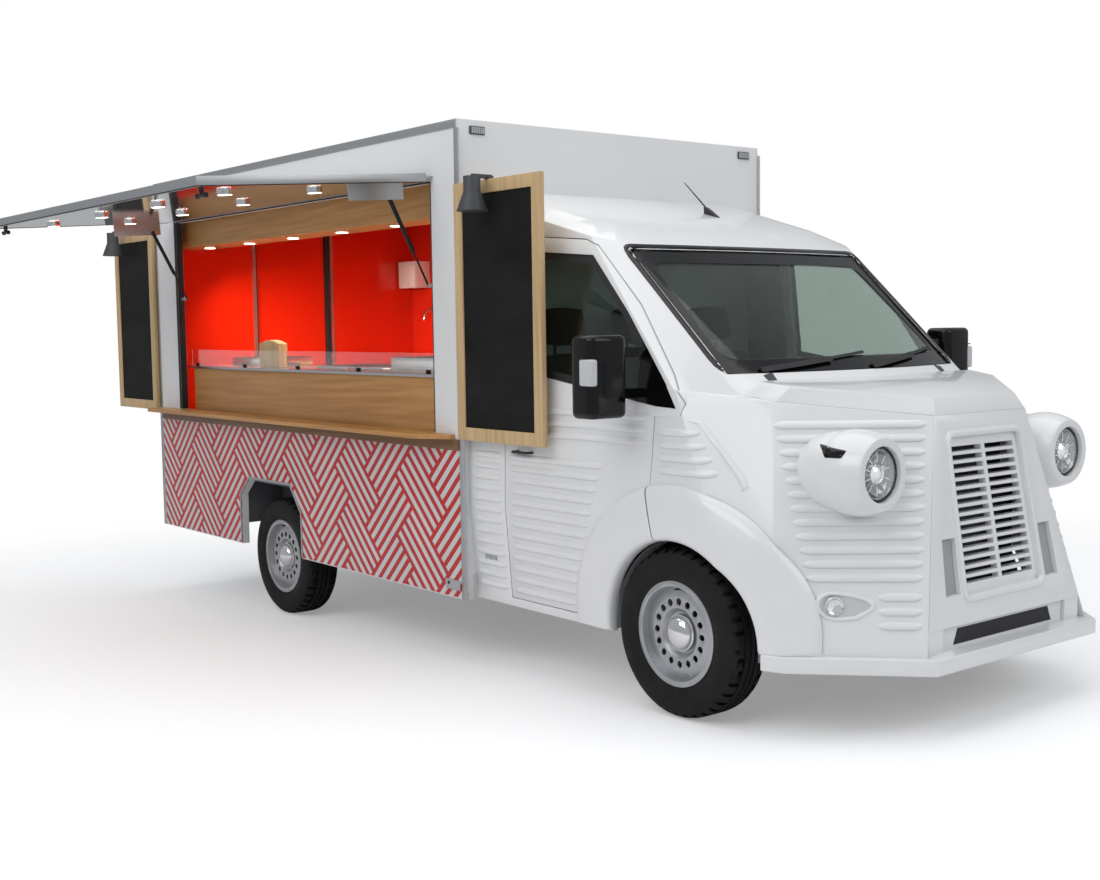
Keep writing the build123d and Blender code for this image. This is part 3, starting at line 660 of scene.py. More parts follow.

# %% [markdown]
# The steel wheels keep their CAD form: a silver dish with sixteen round holes. A welded copy gets smooth
# shading, and a chrome cap, a valve and raised rings round the sixteen holes are made over it.

# %% Steel wheels and caps
for corner in corners:
    hub = Vector(joints["spin_" + corner]["pos_m"])
    out = -1 if corner.endswith("right") else 1
    place = Matrix.Translation(hub) @ Matrix.Diagonal((0.001, 0.001 * out, 0.001, 1))
    dressed_copy("rim_" + corner, wheel_silver, 0.0015, 40)
    bm = bmesh.new()
    lathe(bm, [(76, 57), (76, 62), (71.5, 64), (70, 70), (66, 80), (56, 89), (42, 95), (24, 99), (8, 100.5), (0, 100.6)],
          (0, 0, 0), "y", 64)
    make_piece("cap_" + corner, bm, chrome, "wheel_" + corner, 50, place)
    bm = bmesh.new()
    for i in range(16):
        turn_by = Matrix.Rotation(2 * pi * i / 16, 4, "Y")
        made = lathe(bm, [(15.5, 71), (17.5, 72.4), (19.5, 71.2)], (0, 0, 0), "y", 16)
        fresh = [v for v in bm.verts if not v.tag]
        bmesh.ops.transform(bm, matrix=turn_by @ Matrix.Translation((132, 0, 0)), verts=fresh)
        for v in fresh:
            v.tag = True
    bmesh.ops.translate(bm, verts=bm.verts[:], vec=(0, -3.2, 0))
    make_piece("hole_rims_" + corner, bm, wheel_silver, "wheel_" + corner, 60, place)
    bm = bmesh.new()
    drum(bm, (0, 74, 185), "y", 5, 4, 26, 12)
    make_piece("valve_" + corner, bm, soft_black, "wheel_" + corner, 40, place)
print("wheels", len(corners))

# %% [markdown]
# Some pieces lie on a curved face: the black edge print of the windscreen, the window seals, the lamp flashes.
# They are drawn flat, divided finely, and each point is then pushed along one axis until it meets the face.
# A flat piece laid near the glass would cut through it, because the glass leans and bends.

# %% Drape tools
trees = {}


def meet(nodes_under, point, direction):
    """The first spot, on the level truck, where a ray through a point meets one of some nodes."""
    aim = (tip.to_3x3() @ Vector(direction)).normalized()
    best = None
    for node in nodes_under.split():
        if node not in trees:
            under = bmesh.new()
            under.from_mesh(skins.get(node, nodes[node]).data)
            trees[node] = BVHTree.FromBMesh(under)
            under.free()
        hit = trees[node].ray_cast(level @ Vector(point) - aim * 1.5, aim)
        if hit[0] is not None and (best is None or hit[3] < best[3]):
            best = hit
    return best and level.inverted() @ best[0]


def drape(bm, nodes_under, direction, proud):
    """Push level points along a direction onto the first face met; leave them proud of it by some mm."""
    missed = 0
    for v in bm.verts:
        spot = meet(nodes_under, v.co, direction)
        if spot is None:
            missed += 1
        else:
            v.co = spot - Vector(direction).normalized() * proud
    return missed


def rounded(points, r, n=4):
    """The same outline with each corner replaced by a short curve."""
    run = []
    for i, p in enumerate(points):
        p = Vector(p)
        a = (Vector(points[i - 1]) - p).normalized() * r
        b = (Vector(points[(i + 1) % len(points)]) - p).normalized() * r
        run += [p + a * (1 - k / n) ** 2 + b * (k / n) ** 2 for k in range(n + 1)]
    return run


def band(bm, outer, inner, plane, cuts=4):
    """A flat band between two outlines with the same number of points, finely divided."""
    def spot(p):
        return {"xz": (p[0], 0, p[1]), "yz": (0, p[0], p[1])}[plane]
    rings = [[bm.verts.new(spot(p)) for p in line] for line in (outer, inner)]
    count = len(outer)
    for i in range(count):
        j = (i + 1) % count
        bm.faces.new((rings[0][i], rings[0][j], rings[1][j], rings[1][i]))
    bmesh.ops.subdivide_edges(bm, edges=bm.edges[:], cuts=cuts, use_grid_fill=True)


def patch(bm, points, plane, cuts=5):
    """A flat filled outline, finely divided."""
    def spot(p):
        return {"xz": (p[0], 0, p[1]), "yz": (0, p[0], p[1]), "xy": (p[0], p[1], 0)}[plane]
    face = bm.faces.new([bm.verts.new(spot(p)) for p in points])
    made = bmesh.ops.triangulate(bm, faces=[face])["faces"]
    edges = list({e for f in made for e in f.edges})
    bmesh.ops.subdivide_edges(bm, edges=edges, cuts=cuts, use_grid_fill=True)


def thicken(bm, along, depth):
    """Give a draped sheet a back, so that it is a closed piece."""
    faces = bm.faces[:]
    made = bmesh.ops.extrude_face_region(bm, geom=faces)["geom"]
    bmesh.ops.translate(bm, verts=[v for v in made if isinstance(v, bmesh.types.BMVert)], vec=Vector(along) * depth)


# %% Windscreen print, side seals, sail panels
bm = bmesh.new()
outer = rounded([(-806, 1427), (-806, 1994), (806, 1994), (806, 1427)], 60)
inner = rounded([(-728, 1484), (-700, 1908), (700, 1908), (728, 1484)], 70)
band(bm, outer, inner, "yz", 8)
print("screen print missed", drape(bm, "cab_glass cab_shell", (-1, 0, 0), 3.0))
thicken(bm, (-1, 0, 0), 4)
make_piece("windscreen_print", bm, mirror_black, "base", 60)

glass_line = [(-1068, 1437), (-110, 1298), (12, 1292), (-51, 1389), (-331, 1689), (-600, 1943), (-1068, 1983)]
glass_inner = [(-1036, 1470), (-200, 1343), (-150, 1340), (-160, 1380), (-352, 1664), (-612, 1908), (-1036, 1946)]
sail = [(-222, 1316), (-110, 1299), (12, 1292), (-51, 1388), (-222, 1571)]
for side, sign, under, body in (("right", 1, "cab_glass", "base"), ("left", -1, "door_glass_left", "door_left")):
    bm = bmesh.new()
    band(bm, glass_line, glass_inner, "xz")
    missed = drape(bm, under, (0, sign, 0), 0.6)
    thicken(bm, (0, sign, 0), 0.5)
    make_piece("window_seal_" + side, bm, soft_black, body, 60)
    bm = bmesh.new()
    patch(bm, sail, "xz", 6)
    missed += drape(bm, under, (0, sign, 0), 3.5)
    thicken(bm, (0, sign, 0), 3.0)
    make_piece("sail_panel_" + side, bm, mirror_black, body, 60)
    print(side, "window seal missed", missed)

# %% [markdown]
# The wipers rest on the print at the foot of the glass. Each is an arm and a thin blade; both
# are draped straight bars, so they follow the bend of the screen.

# %% Wipers, washer jets, aerial
for k, (root, end) in enumerate((((-600, 1441), (90, 1500)), ((60, 1441), (700, 1508)))):
    for kind, low, high, wide, proud in (("blade", 0.12, 1.0, 11, 13), ("arm", 0.0, 0.62, 20, 24)):
        bm = bmesh.new()
        p, q = Vector(root).lerp(Vector(end), low), Vector(root).lerp(Vector(end), high)
        half = (q - p).normalized().orthogonal() * wide / 2
        patch(bm, [p - half, q - half, q + half, p + half], "yz", 8)
        drape(bm, "cab_glass cab_shell", (-1, 0, 0), proud)
        thicken(bm, (-1, 0, -0.2), 9)
        make_piece("wiper_%s_%d" % (kind, k + 1), bm, soft_black, "base", 30)
bm = bmesh.new()
for y in (-586, 586):
    patch(bm, [(150, y - 26), (190, y - 18), (190, y + 18), (150, y + 26)], "xy", 2)
drape(bm, "cab_shell bonnet", (0, 0, -1), 4)
thicken(bm, (0, 0, -1), 6)
make_piece("washer_jets", bm, lamp_grey, "base", 30)

bm = bmesh.new()
fin = outline(bm, [(-986, 2168), (-1105, 2200), (-1110, 2246), (-1085, 2236)], "xz", (300, 326))
soften(bm, 6, 3)
make_piece("aerial_foot", bm, black_plastic, "base", 30)
bm = bmesh.new()
whip = Matrix.Translation((-1178, 313, 2308)) @ Matrix.Rotation(radians(-48), 4, "Y")
bmesh.ops.create_cone(bm, cap_ends=True, radius1=4.5, radius2=2.5, depth=220, segments=12, matrix=whip)
make_piece("aerial_whip", bm, black_plastic, "base", 40)
print("wipers, jets and aerial made")

# %% [markdown]
# Each headlamp is five turned pieces: a black collar in the pod, a chrome bowl, a projector eye with its
# ring, the bulb shield and a clear domed lens. The glow of a real lamp comes from the bowl, so the bowl is
# turned as a true dish and the light in the room does the rest.

# %% Head lamps, pod flashes
lamp_skins = []
for side, s in (("right", -1), ("left", 1)):
    spot = (0, s * 648, 1052)
    bm = bmesh.new()
    lathe(bm, [(109.5, 743), (109.5, 768), (104, 776), (98, 774), (96, 764), (94, 752)], spot, "x", 64)
    lamp_skins.append(make_piece("lamp_collar_" + side, bm, black_plastic, "base", 40))
    bm = bmesh.new()
    lathe(bm, [(95.5, 769), (92, 770.5), (88, 768), (85, 761), (74, 752), (58, 747), (38, 744), (0.01, 743)], spot, "x", 64)
    lamp_skins.append(make_piece("lamp_bowl_" + side, bm, smoked_chrome, "base", 40))
    bm = bmesh.new()
    for i in range(10):
        fan = outline(bm, [(46, -1.4), (87, -1.4), (87, 1.4), (46, 1.4)], "yz", (748, 762))
        fresh = [v for v in bm.verts if not v.tag]
        turn_by = Matrix.Translation((0, s * 648, 1052)) @ Matrix.Rotation(2 * pi * (i + 0.5) / 10, 4, "X")
        bmesh.ops.transform(bm, matrix=turn_by, verts=fresh)
        for v in fresh:
            v.tag = True
    lamp_skins.append(make_piece("lamp_fins_" + side, bm, chrome, "base", 30))
    bm = bmesh.new()
    lathe(bm, [(40, 744), (40, 762), (36, 766), (33, 763), (32, 758)], spot, "x", 48)
    lathe(bm, [(31, 760), (24, 767), (13, 771), (0.01, 772)], spot, "x", 48)
    lamp_skins.append(make_piece("lamp_eye_" + side, bm, chrome, "base", 40))
    bm = bmesh.new()
    lathe(bm, [(97.5, 772), (95, 777), (78, 781), (48, 784), (0.01, 785.5)], spot, "x", 64)
    lathe(bm, [(0.01, 783), (48, 781.5), (78, 778.5), (95, 774), (97.5, 772)], spot, "x", 64)
    make_piece("lamp_lens_" + side, bm, clear_glass, "base", 60)
    bm = bmesh.new()
    flash = rounded([(572, 1166), (724, 1150), (714, 1121), (634, 1119)], 8, 3)
    patch(bm, flash, "xz", 3)
    missed = drape(bm, "headlamp_pods", (0, -s, 0), 1.2)
    thicken(bm, (0, -s, 0), 2.5)
    make_piece("pod_flash_" + side, bm, mirror_black, "base", 60)
print("lamp pieces", len(lamp_skins), "flash missed", missed)

# %% [markdown]
# The ribbed skin is the look of this cab. A rib is a low loaf: a strip of points is laid over the panel, each point
# finds the panel by a ray, and is then lifted by a height that is full along the middle and zero at
# the rim and the ends. Laid this way a rib follows the panel's bend, and the ribs of the left door swing with it.

# %% Flares round the front wheels
flare_rings = [(636, 0), (633, 9), (627, 18), (616, 24), (600, 27), (540, 29), (480, 29), (445, 29), (430, 26), (421, 17), (417, 6), (416, -14)]


def skin_y(side, s, x, z):
    """How far out the closed skin stands at a level x and z; the shut lines are bridged."""
    found = []
    for dx, dz in ((0, 0), (16, 0), (-16, 0), (0, 16), (0, -16)):
        spot = meet("wing_%s door_%s cab_shell" % (side, side), (x + dx, 0, z + dz), (0, -s, 0))
        if spot and 800 < abs(spot.y) < 1050:
            found.append(spot.y)
    return max(found, key=abs) if found else None


for side, s in (("right", -1), ("left", 1)):
    door_body = "base" if side == "right" else "door_left"
    for part, body, start, stop in (("wing", "base", -3, 102.9), ("door", door_body, 103.6, 183)):
        bm = bmesh.new()
        rows = []
        for r, lift in flare_rings:
            centre = Vector((10, 345)).lerp(Vector((20, 330)), (636 - r) / 220)
            line = []
            for k in range(61):
                t = radians(start + (stop - start) * k / 60)
                x, z = centre.x + r * cos(t), max(centre.y + r * sin(t), 306)
                out = max(r, 446) + 2
                y = skin_y(side, s, centre.x + out * cos(t), max(centre.y + out * sin(t), 306))
                line.append(bm.verts.new((x, y + s * lift, z)) if y else None)
            rows.append(line)
        for a, b in zip(rows, rows[1:]):
            for k in range(60):
                quad = (a[k], a[k + 1], b[k + 1], b[k])
                if None not in quad:
                    bm.faces.new(quad)
        thicken(bm, (0, -s, 0), 3)
        bmesh.ops.recalc_face_normals(bm, faces=bm.faces[:])
        make_piece("flare_%s_%s" % (part, side), bm, white_gloss, body, 60)
        print("flare", part, side, "points", len(bm.verts) if bm.is_valid else "kept")

# %% Ribs
rib_lift = [(-16, 0), (-14.5, 6.5), (-9, 11), (-1, 11.5), (8, 7.5), (16, 0)]


def rib(bm, start, end, z, under, aim):
    """One rib between two plan points at a height."""
    start, end = Vector((*start, z)), Vector((*end, z))
    count = max(6, int((end - start).length / 30))
    rows = []
    for k in range(count + 1):
        t = k / count
        near = min(t, 1 - t) * (end - start).length
        full = min(1, near / 14)
        line = []
        for dz, lift in rib_lift:
            spot = meet(under, start.lerp(end, t) + Vector((0, 0, dz * (0.55 + 0.45 * full))), aim)
            line.append(spot and bm.verts.new(spot - Vector(aim).normalized() * (lift * full - 0.4)))
        rows.append(line)
    for a, b in zip(rows, rows[1:]):
        for k in range(len(rib_lift) - 1):
            quad = (a[k], a[k + 1], b[k + 1], b[k])
            if None not in quad:
                bm.faces.new(quad)


# Side fields. Columns: rows, lowest z, x range of the lowest row, of the highest row, node under it.
side_fields = [(13, 388, (-1096, -640), (-1096, -430), "door"), (3, 1145, (-1096, -150), (-1096, -140), "door"),
               (4, 1036, (-90, 225), (-90, 130), "wing"), (13, 388, (-1390, -1152), (-1390, -1152), "shell")]
# Fields of the slanted face, in shares of its width. Columns: rows, lowest z, first start, last start, end.
face_fields = [(12, 648, 0.19, 0.0, 0.955), (3, 470, 0.66, 0.66, 0.955)]


def face_corner(k, z):
    """A plan point of the slanted face at a share of its width and a height."""
    low, mid, top = ((545, 925), (946, 568)), ((470, 905), (861, 438)), ((345, 772), (783, 318))
    a, b, t = (low, mid, (z - 300) / 500) if z < 800 else (mid, top, (z - 800) / 510)
    left, right = [Vector(p).lerp(Vector(q), t) for p, q in zip(a, b)]
    return left.lerp(right, k)


for side, s in (("right", -1), ("left", 1)):
    on = {"door": "door_" + side, "wing": "wing_" + side, "shell": "cab_shell"}
    made = {"door": bmesh.new(), "wing": bmesh.new(), "shell": bmesh.new()}
    for rows, low, first, last, place in side_fields:
        for i in range(rows):
            x0, x1 = [p + (q - p) * i / (rows - 1) for p, q in zip(first, last)]
            rib(made[place], (x0, 0), (x1, 0), low + i * 53, on[place], (0, -s, 0))
    for rows, low, first, last, end in face_fields:
        for i in range(rows):
            z = low + i * 53
            k = first + (last - first) * i / (rows - 1)
            a, b = face_corner(k, z), face_corner(end, z)
            rib(made["wing"], (a.x, s * a.y), (b.x, s * b.y), z, on["wing"], (-0.665, -0.747 * s, 0))
    for place, bm in made.items():
        body = "door_left" if place == "door" and side == "left" else "base"
        thicken(bm, (0, -s * 0.8, 0), 2)
        bmesh.ops.recalc_face_normals(bm, faces=bm.faces[:])
        make_piece("ribs_%s_%s" % (place, side), bm, white_gloss, body, 50)
print("ribs a side", sum(rows for rows, *rest in side_fields) + sum(rows for rows, *rest in face_fields))

# %% Mirror heads
for side, s in (("right", -1), ("left", 1)):
    bm = bmesh.new()
    bar(bm, (-298, -152), span(s, 1092, 1298), (1252, 1595))
    upright = [e for e in bm.edges if abs(e.verts[0].co.z - e.verts[1].co.z) > 100]
    soften(bm, 40, 6, edges=upright)
    soften(bm, 26, 5, 50)
    for z in (1350, 1520):
        bar(bm, (-240, -190), span(s, 960, 1110), (z - 20, z + 20))
    head = make_piece("mirror_head_" + side, bm, mirror_black, "base" if side == "right" else "door_left", 40)
    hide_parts("mirror_" + side)
print("mirror heads made")

# %% [markdown]
# The grille sits in a raised rounded frame, and each wing has a drop-shaped scoop with a small round lamp. Both are
# beads laid on the panel: rings of one outline at growing offsets, each ring lifted to the height of the bead there.

# %% Grille frame
def bead(bm, rings, aim):
    """Join rings of level points into a closed bead with a back below the panel."""
    lines = [[bm.verts.new(p) for p in ring] for ring in rings]
    for a, b in zip(lines, lines[1:]):
        for k in range(len(a)):
            j = (k + 1) % len(a)
            bm.faces.new((a[k], a[j], b[j], b[k]))
    thicken(bm, aim, 3)
    bmesh.ops.recalc_face_normals(bm, faces=bm.faces[:])


def grille_line(offset):
    half_low, half_top = 262 + offset, 240 + offset
    line = [(-half_low, 552 - offset), (-half_top, 1168 + offset), (half_top, 1168 + offset), (half_low, 552 - offset)]
    return rounded(line, 26 + offset, 5)


rings = []
for offset, lift in ((1, -10), (2, 5), (6, 10), (13, 12), (22, 10), (28, 5), (30, -1)):
    ring = []
    for p, q in zip(grille_line(offset), grille_line(max(offset, 12))):
        spot = meet("nose_panel", (0, q.x, q.y), (-1, 0, 0))
        ring.append(Vector((spot.x + lift, p.x, p.y)))
    rings.append(ring)
bm = bmesh.new()
bead(bm, rings, (-1, 0, 0))
make_piece("grille_frame", bm, white_gloss, "base", 60)
print("grille frame points", len(rings) * len(rings[0]))

# %% Fog lamp scoops
drop = [(763 + 46 * cos(radians(a)), 540 + 46 * sin(radians(a))) for a in range(-100, 101, 20)]
drop += [(716, 580), (672, 563), (660, 546), (668, 530), (714, 500)]
for side, s in (("right", -1), ("left", 1)):
    middle = Vector((738, 540))
    out = Vector((0.665, 0.747 * s, 0))
    rings = []
    for offset, lift in ((-6, -2), (-3, 5), (2, 8), (8, 6), (13, -1)):
        ring = []
        for y, z in drop:
            p = Vector((y, z))
            p += (p - middle).normalized() * offset
            spot = meet("wing_" + side, (0, s * p.x, p.y), (-1, 0, 0))
            ring.append(spot + out * lift)
        rings.append(ring)
    bm = bmesh.new()
    bead(bm, rings, -out)
    make_piece("fog_scoop_" + side, bm, white_gloss, "base", 60)
    bm = bmesh.new()
    patch(bm, [(s * y, z) for y, z in drop], "yz", 2)
    drape(bm, "wing_" + side, (-1, 0, 0), 1.5)
    thicken(bm, (-1, 0, 0), 2)
    bmesh.ops.recalc_face_normals(bm, faces=bm.faces[:])
    # The pocket's grey is painted shade in the white hollow round the fog lamp.
    make_piece("fog_pocket_" + side, bm, fog_pocket_painted_shade, "base", 40)
    seat = meet("wing_" + side, (0, s * 766, 540), (-1, 0, 0))
    place = Matrix.Translation(seat) @ Matrix.Rotation(s * radians(34), 4, "Z")
    bm = bmesh.new()
    lathe(bm, [(40, -4), (40, 9), (37, 13), (33, 12), (31, 8), (20, 3), (0.01, 1)], (0, 0, 0), "x", 40)
    bmesh.ops.transform(bm, matrix=place, verts=bm.verts[:])
    make_piece("fog_bowl_" + side, bm, chrome, "base", 40)
    bm = bmesh.new()
    lathe(bm, [(32.5, 10), (30, 14), (18, 17), (0.01, 18)], (0, 0, 0), "x", 40)
    lathe(bm, [(0.01, 16), (18, 15), (30, 12), (32.5, 10)], (0, 0, 0), "x", 40)
    bmesh.ops.transform(bm, matrix=place, verts=bm.verts[:])
    make_piece("fog_lens_" + side, bm, clear_glass, "base", 60)
print("fog scoops made")

# %% Front arch liners
for side, s in (("right", -1), ("left", 1)):
    bm = bmesh.new()
    turns = [radians(-3 + 186 * k / 48) for k in range(49)]
    for near, far in ((884, 958),):
        edges = [[bm.verts.new((20 + 417 * cos(t), s * y, 330 + 417 * sin(t))) for t in turns] for y in (near, far)]
        for k in range(48):
            bm.faces.new((edges[0][k], edges[0][k + 1], edges[1][k + 1], edges[1][k]))
    bmesh.ops.solidify(bm, geom=bm.faces[:], thickness=3)
    bmesh.ops.recalc_face_normals(bm, faces=bm.faces[:])
    # The liner's grey-blue finish is painted shade on white paint.
    make_piece("arch_liner_" + side, bm, arch_liner_painted_shade, "base", 60)
print("arch liners made")

# %% [markdown]
# The nose panel is a thin white sheet with holes in it. What makes the slots read as holes is the dark behind them, so
# a black box stands behind the grille for the dark duct and the shade in it, and grey filler plates lie in the side
# pockets as painted shade.

# %% Grille duct and vent fillers
# The black plate stands for the dark duct behind the grille and the shade in it: partly its own black, partly painted
# shade.
bm = bmesh.new()
bar(bm, (690, 694), (-272, 272), (538, 1182))
make_piece("grille_back", bm, black_plastic, "base", 30)
print("grille back made")

# %% Vent fillers, bumper slot and corner fill
low_x, high_x = [meet("nose_panel", (0, 440, z), (-1, 0, 0)).x for z in (560, 780)]
bm = bmesh.new()
for s in (-1, 1):
    corners = [(296, 555, low_x), (286, 785, high_x), (379, 785, high_x), (399, 555, low_x)]
    face = bm.faces.new([bm.verts.new((x - 20, s * y, z)) for y, z, x in corners])
bmesh.ops.recalc_face_normals(bm, faces=bm.faces[:])
thicken(bm, (-1, 0, 0), 6)
# The grey fillers are painted shade in the white side pockets.
make_piece("vent_fillers", bm, vent_painted_shade, "base", 30)
bm = bmesh.new()
outline(bm, [(-345, 366), (-318, 428), (318, 428), (345, 366)], "yz", (898, 902))
make_piece("bumper_slot", bm, soft_black, "base", 30)
bm = bmesh.new()
for s in (-1, 1):
    outline(bm, [(830, s * 430), (914, s * 430), (917, s * 528), (830, s * 570)], "xy", (352, 446))
make_piece("bumper_corners", bm, white_gloss, "base", 30)
print("nose face at the pockets", round(low_x), round(high_x))

# %% [markdown]
# The crease on each wing runs from the louvres down to the flare. It is a swept bead: a short row of rings
# laid on the surface and joined, thick in the middle and thin at the ends.

# %% Wing crease, handles
for side, s in (("right", -1), ("left", 1)):
    bm = bmesh.new()
    line = [(70, 1252), (120, 1236), (150, 1205), (205, 1142), (268, 1070), (318, 1010), (332, 978)]
    width = [5, 9, 11, 12, 13, 15, 13]
    run = []
    for (x, z), w in zip(line, width):
        run.append([bm.verts.new((x + w * a, 0, z + w * b)) for a, b in ((-0.8, -0.6), (0.8, 0.6))])
    for a, b in zip(run, run[1:]):
        bm.faces.new((a[0], b[0], b[1], a[1]))
    bmesh.ops.subdivide_edges(bm, edges=bm.edges[:], cuts=3, use_grid_fill=True)
    drape(bm, "wing_%s door_%s cab_shell" % (side, side), (0, -s, 0), 0)
    mids = [v for v in bm.verts if not v.is_boundary]
    bmesh.ops.translate(bm, verts=mids, vec=(0, s * 7, 0))
    make_piece("wing_crease_" + side, bm, white_gloss, "base", 60)
    body = "base" if side == "right" else "door_left"
    bm = bmesh.new()
    for x in (-1022, -918):
        bar(bm, (x - 5, x + 5), span(s, 1003, 1041), (1046, 1058))
    bar(bm, (-1028, -912), span(s, 1036, 1047), (1046, 1058))
    soften(bm, 3, 3)
    make_piece("door_handle_" + side, bm, black_plastic, body, 40)
print("creases and handles made")

# %% [markdown]
# A mirror is read by its small parts: cooling ribs on the back, a pale side lamp and the silvered pane.

# %% Mirror parts
for side, s in (("right", -1), ("left", 1)):
    door_body = "base" if side == "right" else "door_left"
    bm = bmesh.new()
    for k in range(15):
        bar(bm, (-152, -147.5), span(s, 1122, 1232), (1342 + k * 9.5, 1346 + k * 9.5))
    bar(bm, (-153, -147), span(s, 1112, 1284), (1508, 1513))
    make_piece("mirror_ribs_" + side, bm, mirror_black, door_body, 30)
    bm = bmesh.new()
    bar(bm, (-226, -146), span(s, 1266, 1304), (1388, 1498))
    soften(bm, 10, 3)
    make_piece("mirror_lamp_" + side, bm, pale_lens, door_body, 40)
    bm = bmesh.new()
    bar(bm, (-302, -299), span(s, 1116, 1274), (1290, 1560))
    soften(bm, 1, 1)
    make_piece("mirror_glass_" + side, bm, chrome, door_body, 30)
print("mirror parts made")

# %% [markdown]
# The hatch is drawn in its own frame: x along the truck, y out from the hinge (negative), z through the sheet.
# The same matrix that tilts the CAD hatch places every piece, so nothing has to be worked out twice. Its under
# side is a polished sheet that mirrors the counter, which is most of what the photo shows there.

# %% Hatch sheet, seal, lights, latches
hatch_place = level @ Matrix.Translation((0, -1077, 2368)) @ Matrix.Rotation(radians(3.8), 4, "X")
for name, material, x, y, z in (
    ("hatch_under", polished_white, (-4668, -1674), (-1170, -52), (-21.2, -20)),
    ("hatch_top", panel_white, (-4690, -1650), (-1196, -34), (20, 21.2)),
):
    bm = bmesh.new()
    bar(bm, x, y, z)
    make_piece(name, bm, material, "hatch", 30, hatch_place)
bm = bmesh.new()
for x, y in (((-4706, -1638), (-1212, -1198)), ((-4706, -4692), (-1198, -20)), ((-1652, -1638), (-1198, -20))):
    bar(bm, x, y, (-23, -20))
soften(bm, 1, 1)
make_piece("hatch_seal", bm, soft_black, "hatch", 30, hatch_place)

lights = [(-4350 + i * 780, y) for i in range(4) for y in (-420, -900)]
bm = bmesh.new()
for x, y in lights:
    lathe(bm, [(38, -20), (38, -36), (37, -38), (35, -38), (34.5, -36)], (x, y, 0), "z", 32)
rims = make_piece("hatch_light_rims", bm, chrome, "hatch", 40, hatch_place)
bm = bmesh.new()
for x, y in lights:
    drum(bm, (x, y, -36.5), "z", 33, 35, 5, 32)
eyes = make_piece("hatch_light_eyes", bm, warm_glow, "hatch", 40, hatch_place)
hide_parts("hatch_lights")
bm = bmesh.new()
for x in (-4560, -1790):
    drum(bm, (x, -1120, -34), "z", 9, 13, 30, 20)
    drum(bm, (x, -1120, -54), "x", 9, 9, 84, 16)
    for e in (-42, 42):
        bmesh.ops.create_uvsphere(bm, u_segments=16, v_segments=8, radius=13,
                                  matrix=Matrix.Translation((x + e, -1120, -54)))
make_piece("hatch_latches", bm, black_plastic, "hatch", 40, hatch_place)
print("hatch lights", len(lights))

# %% [markdown]
# Round the opening: a rubber seal, the glass guard's clips, the spots in the wooden soffit, the pans and the
# board on the counter, and the inner side of the rear door with its rubber and metal edges.

# %% Opening and counter
bm = bmesh.new()
for x, z in (((-4716, -4690), (1112, 2350)), ((-4690, -1650), (2343, 2350))):
    bar(bm, x, (-1051.5, -1048), z)
for x in (-4690, -1660):
    bar(bm, (x, x + 10), (-1047, -1008), (1112, 2344))
make_piece("opening_seal", bm, soft_black, "base", 30)

bm = bmesh.new()
for i in range(5):
    x = -4560 + i * 690
    bar(bm, (x - 12, x + 12), (-994, -972), (1396, 1418))
soften(bm, 3, 2)
make_piece("guard_clips", bm, black_metal, "base", 30)

bm = bmesh.new()
glow_bm = bmesh.new()
for i in range(5):
    spot = (-4600 + i * 580, -850, 0)
    lathe(bm, [(33, 2185), (40, 2184), (40, 2182), (38, 2180), (36, 2180), (35.5, 2182)], spot, "z", 32)
    drum(glow_bm, (spot[0], -850, 2179.5), "z", 33, 35.5, 5, 32)
make_piece("spot_rims", bm, steel, "base", 40)
make_piece("spot_eyes", glow_bm, warm_glow, "base", 40)

bm = bmesh.new()
for x0, x1, y0, y1, z1 in ((-4500, -4010, -760, -420, 1450), (-3300, -2940, -800, -420, 1412), (-2900, -2540, -800, -420, 1412),
                           (-2480, -1800, -780, -300, 1470)):
    bar(bm, (x0, x1), (y0, y1), (1396, z1))
soften(bm, 8, 2)
make_piece("counter_pans", bm, steel, "base", 30)
bm = bmesh.new()
for x0, x1, y0, y1, z1 in ((-4480, -4030, -740, -440, 1450), (-3280, -2960, -780, -440, 1412), (-2880, -2560, -780, -440, 1412),
                           (-2460, -1820, -760, -320, 1470)):
    bar(bm, (x0, x1), (y0, y1), (z1, z1 + 2))
make_piece("pan_insides", bm, black_metal, "base", 30)
bm = bmesh.new()
arc = [(-3870 + 260 * k / 8, 1545 + 22 * sin(pi * k / 8)) for k in range(9)]
outline(bm, [(-3870, 1396)] + arc + [(-3610, 1396)], "xz", (-880, -820))
soften(bm, 5, 2)
make_piece("wooden_block", bm, oak_frame, "base", 35)

bm = bmesh.new()
bar(bm, (-4984, -4979), (-1000, -720), (460, 2184))
make_piece("corner_lining", bm, red_gloss, "base", 30)
bm = bmesh.new()
bar(bm, (-4999, -4996), (-316, 233), (474, 2316))
make_piece("rear_door_lining", bm, red_gloss, "rear_door", 30)
bm = bmesh.new()
for y0, y1 in ((-330, -321), (239, 275)):
    bar(bm, (-5028, -4975), (y0, y1), (462, 2330))
make_piece("rear_door_rubber", bm, soft_black, "base", 30)
bm = bmesh.new()
for y0, y1 in ((-356, -330), (275, 301)):
    bar(bm, (-4978, -4974), (y0, y1), (462, 2340))
make_piece("rear_door_edges", bm, aluminium, "base", 30)
print("opening dressed")

# %% [markdown]
# Outside: the metal edge of the rear arch follows the same corner points as the cut in the panel, a socket plate
# sits low at the front corner, a grey grid by the sill, and the lamps are housings with lenses.

# %% Arch edge, socket, grid, lamps of the box
bm = bmesh.new()
cut = [(-3842, 300), (-3838, 610), (-3720, 712), (-3200, 712), (-3075, 560), (-3072, 300)]
edge = [(-3856, 300), (-3852, 616), (-3726, 726), (-3194, 726), (-3061, 566), (-3058, 300)]
rows = [[bm.verts.new((x, -1051, z)) for x, z in line] for line in (cut, edge)]
for i in range(5):
    bm.faces.new((rows[0][i], rows[0][i + 1], rows[1][i + 1], rows[1][i]))
thicken(bm, (0, -1, 0), 4)
make_piece("arch_edge", bm, aluminium, "base", 30)

